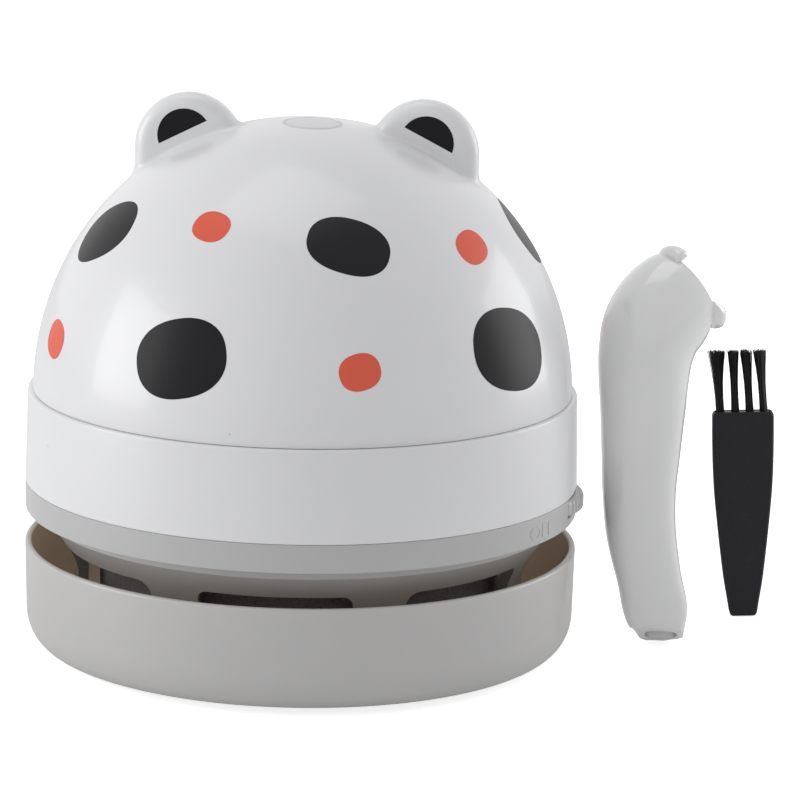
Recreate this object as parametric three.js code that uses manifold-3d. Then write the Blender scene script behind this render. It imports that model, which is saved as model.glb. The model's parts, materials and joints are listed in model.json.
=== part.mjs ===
// A desktop mini vacuum cleaner: a bowl that stands on the desk, a domed upper unit with ears that
// lifts off it, the motor and fan inside, and the nozzle and cleaning brush that belong to the set.
// Millimetres, +Z up, the desk at z = 0, the front towards -Y and the switch towards +X.
// Azimuths count from the front, -Y, towards +X. A piece is built facing the front, then turned.
import * as THREE from 'three';
import { mergeVertices } from 'three/addons/utils/BufferGeometryUtils.js';
import Module from 'manifold-3d';

const wasm = await Module();
wasm.setup();

// Angles, and how finely round stretches are divided
const fullTurn = 2 * Math.PI;
const quarterTurn = Math.PI / 2;
const angleOf = THREE.MathUtils.degToRad;
const shellSegments = 36;
const ringSegments = 24;
const rodSegments = 16;
const pinSegments = 8;
const cornerSteps = 3;

// Gaps that every piece shares
const restGap = 0.3; // between a piece and what it sits on or in
const seamGap = 0.1; // the fine lines between the outer shells
const overrun = 1; // how far a cutting solid runs past what it cuts
const mergeDistance = 1e-4; // corners nearer than this are one corner

// The round body's outer radius, which the bowl and the two bands above it share
const bodyRadius = 50;

// The lower bowl, which stands on its feet and catches the air that leaves the filter
const foot = { count: 4, radius: 4, inset: 12.5, pocket: 1, edge: 0.5, startAngle: angleOf(45) };
foot.placeRadius = bodyRadius - foot.inset;
const bowl = {
  rimZ: 20.1, rimRound: 0.6, undersideZ: 1.2, wall: 1.2, floor: 1.6, draft: 0.25,
  cornerRadius: 4.9, cornerHeight: 6.4, innerCornerRadius: 4, innerCornerHeight: 5,
  dishFootGap: 6.5, dishSlope: 3, dishRise: 2.5,
};
bowl.floorZ = bowl.undersideZ + bowl.floor;
bowl.dishZ = bowl.undersideZ + bowl.dishRise;
bowl.dishFloorZ = bowl.dishZ + bowl.floor;
bowl.dishRadius = foot.placeRadius - foot.radius - bowl.dishFootGap;

// The nozzle's round end, which the inlet tube takes
const spigot = {
  radius: 8.15, lugCount: 3, lugStart: angleOf(-37.5), lugWidth: 4.4, lugSink: 0.8, lugRise: 1.9,
  lugOutlineShares: [
    { along: -1.263, rise: -0.105 }, { along: -0.789, rise: 0.579 }, { along: -0.105, rise: 1 },
    { along: 0.632, rise: 0.895 }, { along: 1.316, rise: 0.263 }, { along: 0.158, rise: -0.053 },
  ],
};
spigot.lugOutline = spigot.lugOutlineShares.map(({ along, rise }) => ({
  along: along * spigot.lugRise,
  rise: rise * spigot.lugRise,
}));
const inlet = {
  play: 0.35, wall: 3, lowZ: 2, height: 12.5, lip: 0.8,
  flangeRadius: 16, flangeThick: 1.4, notchPlay: 0.6, grooveFrom: 2, grooveHeight: 5.6,
};
inlet.bore = spigot.radius + inlet.play;
inlet.radius = inlet.bore + inlet.wall;
inlet.groove = spigot.radius + spigot.lugRise + inlet.play;
inlet.topZ = inlet.lowZ + inlet.height;

// The two soft strips beside the inlet that sweep crumbs towards it
const strip = { width: 2.4, length: 22, inletGap: 2.9, tipZ: 0.4, pocket: 1.1 };
strip.placeX = inlet.radius + strip.inletGap + strip.width / 2;

// The grey upper band, whose floor is the deck that carries everything inside
const band = {
  lowZ: 26.3, seamZ: 31.45, topZ: 48, draft: 0.05, lowRound: 0.4, wall: 2,
  deck: 2, lipHeight: 2.2, lipThick: 1.2, lipPlay: 0.35, spigotPlay: 0.5, spigotWall: 1.4, spigotDrop: 6.4,
};
band.deckTopZ = band.lowZ + band.deck;
band.inner = bodyRadius - band.wall;
band.lipRadius = band.inner - band.lipPlay;

// The dust basket, whose windows show above the bowl's rim
const basket = {
  airGap: 9, wall: 2, flareZ: 15.3, flare: 5.2, flarePower: 1.55, rimWidth: 1.3, rimHeight: 1.6,
  windowCount: 7, windowAngle: angleOf(38.6), windowTopZ: 20.3, windowFootZ: 6.2, windowRound: 1.7,
};
basket.lowZ = bowl.floorZ + restGap;
basket.topZ = band.lowZ - restGap;
basket.radius = bodyRadius - basket.airGap;
basket.bore = basket.radius - basket.wall;
basket.innerFlare = basket.flare - basket.rimWidth + basket.wall;
basket.innerFlareZ = basket.flareZ + basket.wall / 2;
band.spigotRadius = basket.bore - band.spigotPlay;

const sleeve = { inset: 2.5, wall: 1.1 };
sleeve.radius = basket.bore - sleeve.inset;
const seal = { sideGap: 0.45, height: 1.4 };

// The white band, with the posts that take the deck's screws, and the dome with its ears
const middle = {
  topDraft: 0.4, bevel: 0.35, ledge: 1.4, ledgeThick: 1.8,
  postCount: 4, postRadius: 3.2, postInset: 5.4, postTopZ: 43.4, ribThick: 1.4, postStart: angleOf(45),
};
middle.ledgeBore = band.inner - middle.ledge;
middle.postCircle = band.inner - middle.postInset;
const dome = {
  inset: 1.33, height: 48.8, wall: 2, sidePower: 2.15, crownPower: 1.94, outerSteps: 10, innerSteps: 5,
  spigotWall: 1.3, spigotDrop: 4, spigotRise: 2.6,
};
dome.radius = bodyRadius - dome.inset;
dome.baseZ = band.topZ + seamGap;
dome.spigotRadius = middle.ledgeBore - restGap;
const ear = {
  radius: 9.8, thick: 5.6, edgeRound: 2.4, sideShare: 0.4335, riseShare: 0.8893, backY: 0.2, lean: angleOf(27),
  straight: 7, markRadius: 4.85, markOut: 0.6, markRise: 2.3, markChord: 0.65, markDepth: 0.5,
};
ear.sideX = dome.radius * ear.sideShare;
ear.centreZ = dome.baseZ + dome.height * ear.riseShare;

// Screws: the deck's long ones, the motor holder's and the board's
const screw = {
  deck: { shank: 1, head: 2.2, headHeight: 1.5, length: 9.5 },
  small: { shank: 0.8, head: 1.7, headHeight: 1.1, length: 4.4 },
  play: 0.3, seat: 2, bossWall: 1.1,
};

// Motor, shaft and fan, all on the body's own axis
const motor = {
  radius: 12, length: 27, wall: 0.8, face: 1, bossRadius: 3.9, bossDrop: 1.4,
  magnetThick: 1.5, magnetLength: 19, magnetAngle: angleOf(120), magnetGap: 0.4,
  armatureLength: 16, armatureSlot: 2.2, commutatorRadius: 3.2, commutatorLength: 3.6,
  capThick: 3, tabWidth: 2.4, tabThick: 0.8, tabHeight: 2, tabX: 7.5,
};
const bush = { radius: 2.6, length: 2.7, play: 0.08 };
const shaft = { radius: 1, play: 0.3, footZ: 17.2, endRise: 1.2 };
const holder = { wall: 1.7, height: 15, earReach: 5.4, earWidth: 6.4, earThick: 2.2 };
const fan = {
  radius: 22, discThick: 1.1, deckGap: 0.9, bladeCount: 8, bladeHeight: 5.6, bladeThick: 1,
  hubRadius: 3.8, bladeRoot: 5, bladeSweep: angleOf(38), bladeSteps: 4, hubDrop: 7.2, hubTaper: 1,
};

// Battery and its holder, charging board, socket and lamp
const battery = { radius: 7, length: 43, capRadius: 2.6, capHeight: 1, motorGap: 6, y: -3, edge: 0.6 };
battery.x = -(motor.radius + restGap + holder.wall + battery.motorGap + battery.radius);
const cradle = { wall: 1.5, height: 19, floor: 1.4, mouthAngle: angleOf(100), play: 0.35 };
const board = {
  width: 26, depth: 13.6, thick: 1.2, z: 35.8, inset: 4.8, postRadius: 2.2, screwX: 10.3, screwInset: 2.6,
};
board.backY = bodyRadius - board.inset;
const socket = {
  width: 9, height: 3.2, depth: 7.6, sink: 0.7, wall: 0.4, mouthDepth: 5.6, round: 1.2, play: 0.35,
};
socket.outY = bodyRadius - socket.sink;
const lamp = { radius: 1.2, x: 9.4, rise: 2.4, depth: 6.4, sink: 0.2, play: 0.3 };
const chips = [
  { name: 'charge_chip', x: -3.8, inset: 10, width: 5, depth: 4, height: 1.2 },
  { name: 'boost_coil', x: 4, inset: 10.4, width: 4.4, depth: 4.4, height: 2.6 },
  { name: 'output_chip', x: -9.6, inset: 4.6, width: 3, depth: 3, height: 1.2 },
];
chips.forEach((chip) => { chip.y = board.backY - chip.inset; });

// The slide switch at the side of the grey band
const knob = {
  azimuth: angleOf(87.8), width: 15, lowZ: 28.3, proud: 1.4, faceRadius: 15.3, backInset: 1.05, edge: 0.6,
  ribCount: 11, ribPitch: 1.25, ribWidth: 0.5, ribDepth: 0.35, travel: 4,
  stemWidth: 3.2, stemHeight: 1.8, stemInset: 4, play: 0.35,
};
knob.topZ = band.seamZ + seamGap - knob.play;
knob.faceCentre = bodyRadius + knob.proud - knob.faceRadius;
knob.middleZ = (knob.lowZ + knob.topZ) / 2;
const switchBody = {
  width: 13, reach: 5, inset: 12, height: 4.4, leverWidth: 3, leverHeight: 1, leverIn: 1.5, slotDepth: 2,
};
switchBody.back = bodyRadius - switchBody.inset;

// Wires that lie in fixed places inside the upper unit
const wire = { radius: 0.55, sides: 5, steps: 12 };

// The set's nozzle, standing beside the body on its tip. A station is a section of the tube: its
// height as a share of the nozzle's, then its middle's way to the right and to the back of the foot
// and its half sizes, as shares of the round end's radius. Its power squares the section's corners.
const viewAngle = angleOf(6);
const nozzle = {
  bodyGap: 16.93, y: 10.46, wall: 1.2, sides: 16, height: 65.6,
  tip: { rise: 1.8, frontRise: 2, leftRise: 1.1 },
  stationShares: [
    { z: 0.0244, side: -0.135, back: 0, half: 0.515, deep: 0.319, power: 3 },
    { z: 0.0716, side: -0.221, back: 0, half: 0.669, deep: 0.405, power: 3.2 },
    { z: 0.1997, side: -0.454, back: 0, half: 0.724, deep: 0.54, power: 3.2 },
    { z: 0.3262, side: -0.663, back: 0, half: 0.783, deep: 0.663, power: 3 },
    { z: 0.436, side: -0.731, back: 0, half: 0.817, deep: 0.736, power: 2.8 },
    { z: 0.5625, side: -0.724, back: 0, half: 0.883, deep: 0.822, power: 2.6 },
    { z: 0.689, side: -0.712, back: 0, half: 0.957, deep: 0.92, power: 2.4 },
    { z: 0.7622, side: -0.712, back: 0.012, half: 1.006, deep: 0.994, power: 2.2 },
    { z: 0.8293, side: -0.681, back: 0.061, half: 1.055, deep: 1.055, power: 2 },
    { z: 0.8948, side: -0.552, back: 0.172, half: 1.117, deep: 1.117, power: 2 },
    { z: 0.9512, side: -0.258, back: 0.344, half: 1.129, deep: 1.104, power: 2 },
    { z: 0.9802, side: -0.031, back: 0.466, half: 1.08, deep: 1.067, power: 2 },
    { z: 1, side: 0.198, back: 0.594, half: 1, deep: 1, power: 2 },
  ],
};
nozzle.x = bodyRadius + nozzle.bodyGap;
nozzle.stations = nozzle.stationShares.map(({ z, side, back, half, deep, power }) => {
  const across = { side: side * spigot.radius, back: back * spigot.radius };
  return { ...across, z: z * nozzle.height, half: half * spigot.radius, deep: deep * spigot.radius, power };
});

// The set's cleaning brush, standing on its narrow end, with four tufts of bristles. The handle's
// outline is in shares of its height and of its widest half, and a tuft's places and spread are
// shares of the half width and half thickness of the slot that it grows from.
const brush = {
  bodyGap: 30.6, y: 33.3, lean: angleOf(-2.1), thick: 2.6, lift: 0.1, cornerRound: 0.9, height: 39.4, half: 5.7,
  outlineShares: [
    { z: 0, half: 0.4386 }, { z: 0.0546, half: 0.4947 }, { z: 0.1726, half: 0.6281 }, { z: 0.3046, half: 0.7386 },
    { z: 0.467, half: 0.8544 }, { z: 0.599, half: 0.9368 }, { z: 0.7284, half: 0.9825 }, { z: 0.8629, half: 1 },
    { z: 1, half: 1 },
  ],
  slotWidth: 10.4, slotDepth: 1.8, slotThick: 2,
};
brush.x = bodyRadius + brush.bodyGap;
brush.outline = brush.outlineShares.map(({ z, half }) => ({ z: z * brush.height, half: half * brush.half }));
const bristle = {
  strandsPerTuft: 75, radius: 0.05, length: 11.6, sink: 0.5, unevenness: 0.5, plateGap: 0.3,
  rootWidth: 0.75, rootDepth: 0.62,
  tuftShares: [
    { x: -0.8077, tipX: -0.9519, tipWidth: 0.3173, tipDepth: 1.5 },
    { x: -0.2692, tipX: -0.3462, tipWidth: 0.2115, tipDepth: 1.4 },
    { x: 0.25, tipX: 0.1058, tipWidth: 0.2154, tipDepth: 1.4 },
    { x: 0.7538, tipX: 0.5865, tipWidth: 0.2404, tipDepth: 1.5 },
  ],
};
bristle.tufts = bristle.tuftShares.map(({ x, tipX, tipWidth, tipDepth }) => {
  const [halfWidth, halfThick] = [brush.slotWidth / 2, brush.slotThick / 2];
  const tip = { tipX: tipX * halfWidth, tipWidth: tipWidth * halfWidth, tipDepth: tipDepth * halfThick };
  return { x: x * halfWidth, ...tip };
});

// Colours and finishes
const look = {
  white: { color: 0xeeeeef, roughness: 0.25, metalness: 0 },
  grey: { color: 0xc4c4c0, roughness: 0.3, metalness: 0 },
  filter: { color: 0x3a3a3d, roughness: 0.95, metalness: 0 },
  rubber: { color: 0x2a2a2c, roughness: 0.8, metalness: 0 },
  black: { color: 0x262629, roughness: 0.7, metalness: 0 },
  steel: { color: 0xb5b8bc, roughness: 0.3, metalness: 1 },
  brass: { color: 0xc29a4a, roughness: 0.35, metalness: 1 },
  magnet: { color: 0x4a4a4e, roughness: 0.6, metalness: 0.4 },
  board: { color: 0x1f6b3f, roughness: 0.5, metalness: 0 },
  blue: { color: 0x2f5fae, roughness: 0.4, metalness: 0 },
  red: { color: 0xb8302a, roughness: 0.5, metalness: 0 },
  clear: { color: 0xdfe8e6, roughness: 0.1, metalness: 0 },
};

// Turns a three.js geometry into a solid for joining and cutting, with its faces outwards
function toSolid(geometry) {
  const bare = new THREE.BufferGeometry();
  bare.setAttribute('position', geometry.getAttribute('position'));
  bare.setIndex(geometry.index);
  const merged = mergeVertices(bare, mergeDistance);
  const position = merged.getAttribute('position');
  const corner = [new THREE.Vector3(), new THREE.Vector3(), new THREE.Vector3()];
  const faces = [];
  let sixVolumes = 0;
  for (let i = 0; i < merged.index.count; i += 3) {
    const face = [0, 1, 2].map((k) => merged.index.getX(i + k));
    if (new Set(face).size < 3) continue;
    face.forEach((vertex, k) => corner[k].fromBufferAttribute(position, vertex));
    sixVolumes += corner[0].dot(corner[1].cross(corner[2]));
    faces.push(...face);
  }
  if (sixVolumes < 0) faces.reverse();
  const vertProperties = new Float32Array(position.array);
  const triVerts = new Uint32Array(faces);
  return new wasm.Manifold(new wasm.Mesh({ numProp: 3, vertProperties, triVerts }));
}

function toGeometry(solid) {
  const mesh = solid.getMesh();
  const geometry = new THREE.BufferGeometry();
  geometry.setAttribute('position', new THREE.BufferAttribute(mesh.vertProperties, 3));
  geometry.setIndex(new THREE.BufferAttribute(mesh.triVerts, 1));
  return geometry;
}

const join = (...shapes) => toGeometry(shapes.map(toSolid).reduce((whole, next) => whole.add(next)));
const cut = (base, ...tools) =>
  toGeometry(tools.map(toSolid).reduce((rest, tool) => rest.subtract(tool), toSolid(base)));
const common = (first, second) => toGeometry(toSolid(first).intersect(toSolid(second)));
const wrapped = (...shapes) => toGeometry(wasm.Manifold.hull(shapes.map(toSolid)));

function piece(name, geometry, finish) {
  const mesh = new THREE.Mesh(toGeometry(toSolid(geometry)), new THREE.MeshStandardMaterial(finish));
  mesh.geometry.computeVertexNormals();
  mesh.name = name;
  return mesh;
}

// A solid of revolution about the Z axis from an outline of [radius, height] pairs. An outline that
// never meets the axis closes on itself.
function turned(outline, segments = shellSegments) {
  const points = outline.map(([radius, height]) => new THREE.Vector2(radius, height));
  if (outline.every(([radius]) => radius > 0)) points.push(points[0].clone());
  const geometry = new THREE.LatheGeometry(points, segments);
  return geometry.rotateX(quarterTurn);
}

// Points of a quarter ellipse from one point to another, bending at the corner between them
function bend(from, corner, to, steps = cornerSteps) {
  return Array.from({ length: steps + 1 }, (_, i) => {
    const turn = (quarterTurn * i) / steps;
    const [a, b] = [1 - Math.sin(turn), 1 - Math.cos(turn)];
    return [0, 1].map((k) => corner[k] + (from[k] - corner[k]) * a + (to[k] - corner[k]) * b);
  });
}

function rod(radius, lowZ, topZ, segments = rodSegments, x = 0, y = 0) {
  const geometry = new THREE.CylinderGeometry(radius, radius, topZ - lowZ, segments);
  return geometry.rotateX(quarterTurn).translate(x, y, (lowZ + topZ) / 2);
}

function tubeRing(inner, outer, lowZ, topZ, segments = ringSegments) {
  return turned([[inner, lowZ], [outer, lowZ], [outer, topZ], [inner, topZ]], segments);
}

function block(x, y, z) {
  const size = [x, y, z].map(([low, high]) => high - low);
  const middlePoint = [x, y, z].map(([low, high]) => (low + high) / 2);
  return new THREE.BoxGeometry(...size).translate(...middlePoint);
}

// A flat outline in the X and Z directions carried along Y, between two distances to the front
function fromFront(shape, near, far, curveSegments = cornerSteps) {
  const geometry = new THREE.ExtrudeGeometry(shape, { depth: far - near, bevelEnabled: false, curveSegments });
  return geometry.rotateX(quarterTurn).translate(0, -near, 0);
}

function raised(shape, lowZ, topZ, curveSegments = cornerSteps) {
  const geometry = new THREE.ExtrudeGeometry(shape, { depth: topZ - lowZ, bevelEnabled: false, curveSegments });
  return geometry.translate(0, 0, lowZ);
}

function roundedRectangle(width, height, radius, middleZ = 0) {
  const [x, low, high] = [width / 2, middleZ - height / 2, middleZ + height / 2];
  const shape = new THREE.Shape();
  shape.moveTo(-x + radius, low).lineTo(x - radius, low);
  shape.absarc(x - radius, low + radius, radius, -quarterTurn, 0);
  shape.absarc(x - radius, high - radius, radius, 0, quarterTurn);
  shape.absarc(-x + radius, high - radius, radius, quarterTurn, 2 * quarterTurn);
  shape.absarc(-x + radius, low + radius, radius, 2 * quarterTurn, 3 * quarterTurn);
  return shape;
}

// An arc of a ring, seen from above, centred on the given direction
function arcShape(inner, outer, angle, direction, curvePoints) {
  const shape = new THREE.Shape();
  const from = direction - angle / 2;
  const points = (radius) => Array.from({ length: curvePoints + 1 }, (_, i) => {
    const at = from + (angle * i) / curvePoints;
    return new THREE.Vector2(radius * Math.cos(at), radius * Math.sin(at));
  });
  shape.setFromPoints([...points(outer), ...points(inner).reverse()]);
  return shape;
}

const around = (count, start, make) =>
  Array.from({ length: count }, (_, i) => make(start + (i * fullTurn) / count));

// Lower unit

function lowerBowl() {
  const { rimZ, rimRound, undersideZ, wall, draft, floorZ, dishRadius, dishSlope, dishZ, dishFloorZ } = bowl;
  const [low, inner] = [bodyRadius - draft, bodyRadius - wall];
  const hole = inlet.radius + restGap;
  const slopeShift = bowl.floor / 2;
  const body = turned([
    [hole, dishZ], [dishRadius, dishZ], [dishRadius + dishSlope, undersideZ],
    ...bend([low - bowl.cornerRadius, undersideZ], [low, undersideZ], [low, undersideZ + bowl.cornerHeight]),
    ...bend([bodyRadius, rimZ - rimRound], [bodyRadius, rimZ], [bodyRadius - wall / 2, rimZ], 2),
    ...bend([bodyRadius - wall / 2, rimZ], [inner, rimZ], [inner, rimZ - rimRound], 2).slice(1),
    ...bend([low - wall, floorZ + bowl.innerCornerHeight], [low - wall, floorZ],
      [low - wall - bowl.innerCornerRadius, floorZ], 3),
    [dishRadius + dishSlope + slopeShift, floorZ], [dishRadius + slopeShift, dishFloorZ], [hole, dishFloorZ],
  ]);
  const footPockets = around(foot.count, foot.startAngle, (azimuth) =>
    rod(foot.radius + restGap, undersideZ - overrun, undersideZ + foot.pocket, rodSegments, 0, -foot.placeRadius)
      .rotateZ(azimuth));
  const stripPockets = [-1, 1].map((side) => {
    const [x, y] = [strip.width / 2 + restGap, strip.length / 2 + restGap];
    const middleX = side * strip.placeX;
    return block([middleX - x, middleX + x], [-y, y], [dishZ - overrun, dishZ + strip.pocket]);
  });
  return piece('lower_bowl', cut(body, ...footPockets, ...stripPockets), look.grey);
}

function feet() {
  const topZ = bowl.undersideZ + foot.pocket - restGap;
  return around(foot.count, foot.startAngle, (azimuth) => azimuth).map((azimuth, i) => {
    const pad = turned([
      [0, 0], [foot.radius - foot.edge, 0], [foot.radius, foot.edge], [foot.radius, topZ], [0, topZ],
    ], rodSegments);
    return piece(`foot_${i + 1}`, pad.translate(0, -foot.placeRadius, 0).rotateZ(azimuth), look.rubber);
  });
}

function sweeperStrips() {
  return [['left', -1], ['right', 1]].map(([side, sign]) => {
    const x = sign * strip.placeX;
    const bar = block([x - strip.width / 2, x + strip.width / 2], [-strip.length / 2, strip.length / 2],
      [strip.tipZ, bowl.dishZ + strip.pocket - restGap]);
    return piece(`sweeper_strip_${side}`, bar, look.black);
  });
}

function inletTube() {
  const { bore, radius, lowZ, topZ, lip, flangeRadius, flangeThick, groove } = inlet;
  const flangeZ = bowl.dishFloorZ + restGap;
  const [grooveLow, grooveTop] = [lowZ + inlet.grooveFrom, lowZ + inlet.grooveFrom + inlet.grooveHeight];
  const body = turned([
    [bore, lowZ], [bore, grooveLow], [groove, grooveLow], [groove, grooveTop], [bore, grooveTop],
    [bore, topZ - lip], [bore + lip, topZ], [radius - lip / 2, topZ], [radius - lip / 2, flangeZ + flangeThick],
    [flangeRadius, flangeZ + flangeThick], [flangeRadius, flangeZ], [radius, flangeZ], [radius, lowZ],
  ], ringSegments);
  const notch = spigot.lugWidth / 2 + inlet.notchPlay;
  const notches = around(spigot.lugCount, 0, (azimuth) =>
    block([-notch, notch], [-groove, -bore + overrun], [lowZ - overrun, grooveLow + overrun]).rotateZ(azimuth));
  return piece('inlet_tube', cut(body, ...notches), look.grey);
}

// The basket's wall opens like a trumpet: its radius grows with a power of the height
function flareCurve(radius, lowZ, flare, topZ, steps = cornerSteps) {
  return Array.from({ length: steps + 1 }, (_, i) =>
    [radius + flare * (i / steps) ** basket.flarePower, lowZ + ((topZ - lowZ) * i) / steps]);
}

function dustBasket() {
  const { radius, bore, lowZ, topZ, flareZ, flare, rimHeight, innerFlare, innerFlareZ } = basket;
  const body = turned([
    [bore, lowZ], [radius, lowZ], ...flareCurve(radius, flareZ, flare, topZ - rimHeight),
    [radius + flare, topZ], ...flareCurve(bore, innerFlareZ, innerFlare, topZ).reverse(),
  ]);
  const { windowTopZ, windowFootZ } = basket;
  const width = 2 * radius * Math.sin(basket.windowAngle / 2);
  const opening = roundedRectangle(width, windowTopZ - windowFootZ, basket.windowRound,
    (windowTopZ + windowFootZ) / 2);
  const windows = around(basket.windowCount, 0, (azimuth) =>
    fromFront(opening, bore * Math.cos(basket.windowAngle / 2) - overrun, radius + flare, 2).rotateZ(azimuth));
  return piece('dust_basket', cut(body, ...windows), look.grey);
}

function filterSleeve() {
  const ring = tubeRing(sleeve.radius - sleeve.wall, sleeve.radius, basket.lowZ, basket.topZ, shellSegments);
  return piece('filter_sleeve', ring, look.filter);
}

// Upper unit: shells

const deckScrewPlaces = () => around(middle.postCount, middle.postStart, (azimuth) => azimuth);

// The recess that the knob slides in and the slot that its stem passes through
function switchRecess() {
  const { width, travel, play, lowZ, middleZ, stemWidth, stemHeight, stemInset, backInset } = knob;
  const back = bodyRadius - backInset - play;
  const recess = block([-width / 2 - play, width / 2 + travel + play], [-bodyRadius - overrun, -back],
    [lowZ - play, band.seamZ + overrun]);
  const slot = block([-stemWidth / 2 - play, stemWidth / 2 + travel + play],
    [-back - overrun, -bodyRadius + stemInset + overrun],
    [middleZ - stemHeight / 2 - play, middleZ + stemHeight / 2 + play]);
  return join(recess, slot).rotateZ(knob.azimuth);
}

function chassis() {
  const { lowZ, seamZ, draft, lowRound, deckTopZ, lipRadius, lipThick, lipHeight } = band;
  const { spigotRadius, spigotWall, spigotDrop } = band;
  const low = bodyRadius - draft;
  const hole = motor.bossRadius + restGap;
  const body = turned([
    [hole, lowZ], [spigotRadius - spigotWall, lowZ], [spigotRadius - spigotWall, lowZ - spigotDrop],
    [spigotRadius, lowZ - spigotDrop], [spigotRadius, lowZ],
    ...bend([low - lowRound, lowZ], [low, lowZ], [low, lowZ + lowRound]),
    [bodyRadius, seamZ], [lipRadius, seamZ], [lipRadius, seamZ + lipHeight],
    [lipRadius - lipThick, seamZ + lipHeight], [lipRadius - lipThick, deckTopZ], [hole, deckTopZ],
  ]);
  const { deck, small, play, seat, bossWall } = screw;
  const bosses = deckScrewPlaces().map((azimuth) =>
    rod(deck.head + bossWall, deckTopZ - overrun, deckTopZ + seat, 12, 0, -middle.postCircle).rotateZ(azimuth));
  const sinks = deckScrewPlaces().map((azimuth) =>
    rod(deck.head + play, lowZ - overrun, lowZ + deck.headHeight + 2 * play, pinSegments, 0, -middle.postCircle)
      .rotateZ(azimuth));
  const holes = deckScrewPlaces().map((azimuth) =>
    rod(deck.shank + play, lowZ - overrun, deckTopZ + seat + overrun, pinSegments, 0, -middle.postCircle)
      .rotateZ(azimuth));
  const boardPosts = boardScrewPlaces().map(([x, y]) =>
    rod(board.postRadius, deckTopZ - overrun, board.z - restGap, pinSegments, x, y));
  const boardHoles = boardScrewPlaces().map(([x, y]) =>
    rod(small.shank + play, board.z - small.length - play, board.z + overrun, pinSegments, x, y));
  const earHoles = holderScrewPlaces().map(([x, y]) =>
    rod(small.shank + play, deckTopZ - small.length, deckTopZ + overrun, pinSegments, x, y));
  const whole = join(body, ...bosses, ...boardPosts);
  return piece('chassis', cut(whole, ...sinks, ...holes, ...boardHoles, ...earHoles, switchRecess()), look.grey);
}

function sealRing() {
  const bore = band.spigotRadius + restGap;
  const topZ = band.lowZ - restGap;
  const sideAt = (height) => {
    const share = (height - basket.innerFlareZ) / (basket.topZ - basket.innerFlareZ);
    return basket.bore + basket.innerFlare * share ** basket.flarePower - seal.sideGap;
  };
  const ring = turned([
    [bore, topZ - seal.height], [sideAt(topZ - seal.height), topZ - seal.height],
    [sideAt(topZ), topZ], [bore, topZ],
  ]);
  return piece('seal_ring', ring, look.rubber);
}

function middleBand() {
  const { seamZ, topZ, inner, deckTopZ, lipHeight } = band;
  const { topDraft, bevel, ledgeBore, ledgeThick, postCircle, postRadius, postTopZ, ribThick } = middle;
  const [lowZ, top] = [seamZ + seamGap, bodyRadius - topDraft];
  const body = turned([
    [inner, lowZ], [bodyRadius, lowZ], [top, topZ - bevel], [top - bevel, topZ], [ledgeBore, topZ],
    [ledgeBore, topZ - ledgeThick], [inner, topZ - ledgeThick],
  ]);
  const { deck, play, seat } = screw;
  const postLowZ = deckTopZ + seat + restGap;
  const ribZ = [seamZ + lipHeight + restGap, postTopZ];
  const posts = deckScrewPlaces().map((azimuth) => join(
    rod(postRadius, postLowZ, postTopZ, rodSegments / 2, 0, -postCircle),
    block([-ribThick / 2, ribThick / 2], [-(bodyRadius + inner) / 2, -postCircle], ribZ),
  ).rotateZ(azimuth));
  const holes = deckScrewPlaces().map((azimuth) =>
    rod(deck.shank + play, postLowZ - overrun, band.lowZ + deck.length + deck.headHeight + 2 * play,
      pinSegments, 0, -postCircle).rotateZ(azimuth));
  const mouth = roundedRectangle(socket.width + 2 * socket.play, socket.height + 2 * socket.play,
    socket.round + socket.play, socketZ());
  const socketHole = fromFront(mouth, ledgeBore - overrun, bodyRadius + overrun, 3).rotateZ(fullTurn / 2);
  const lampHole = lampRod(lamp.radius + lamp.play, lamp.depth);
  const whole = join(body, ...posts);
  return piece('middle_band', cut(whole, ...holes, socketHole, lampHole), look.white);
}

// The dome's outline runs from its base to its crown along (r / R)^side + (h / H)^crown = 1
function domeCurve(radius, height, steps) {
  return Array.from({ length: steps + 1 }, (_, i) => {
    const turn = (quarterTurn * i) / steps;
    return [
      i === steps ? 0 : radius * Math.cos(turn) ** (2 / dome.sidePower),
      dome.baseZ + height * Math.sin(turn) ** (2 / dome.crownPower),
    ];
  });
}

function domeShell() {
  const { radius, height, wall, baseZ, spigotRadius, spigotWall, spigotDrop, spigotRise } = dome;
  const outside = turned([[0, baseZ], ...domeCurve(radius, height, dome.outerSteps)]);
  const hollow = turned([
    [0, baseZ - spigotDrop - overrun], [spigotRadius - spigotWall, baseZ - spigotDrop - overrun],
    [spigotRadius - spigotWall, baseZ + spigotRise],
    ...domeCurve(radius - wall, height - wall, dome.innerSteps).slice(1),
  ]);
  const skirt = tubeRing(spigotRadius - spigotWall - overrun / 2, spigotRadius, baseZ - spigotDrop,
    baseZ + overrun, shellSegments);
  const ears = [-1, 1].map(earBody);
  const marks = [-1, 1].map(earRecess);
  return piece('dome_shell', cut(join(outside, skirt, ...ears), hollow, ...marks), look.white);
}

// An ear: a disc with a round edge above, with straight sides that run down into the dome
function earBody(side) {
  const half = ear.thick / 2;
  const flat = ear.radius - ear.edgeRound;
  const disc = turned([
    [0, -half], ...bend([flat, -half], [ear.radius, -half], [ear.radius, -half + ear.edgeRound]),
    ...bend([ear.radius, half - ear.edgeRound], [ear.radius, half], [flat, half]), [0, half],
  ], ringSegments);
  disc.rotateX(quarterTurn).translate(side * ear.sideX, ear.backY, ear.centreZ);
  return wrapped(disc, disc.clone().translate(0, 0, -ear.straight));
}

// A shallow recess in the ear's front: a disc cut off by a chord square to the ear's lean
function earRecess(side) {
  const frontY = ear.backY - ear.thick / 2;
  const depth = [-frontY - ear.markDepth, -frontY + overrun];
  const from = Math.asin(ear.markChord / ear.markRadius);
  const shape = new THREE.Shape();
  shape.absarc(0, 0, ear.markRadius, from, 2 * quarterTurn - from);
  shape.closePath();
  return fromFront(shape, ...depth, rodSegments / 2).rotateY(side * ear.lean)
    .translate(side * (ear.sideX + ear.markOut), 0, ear.centreZ + ear.markRise);
}

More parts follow.
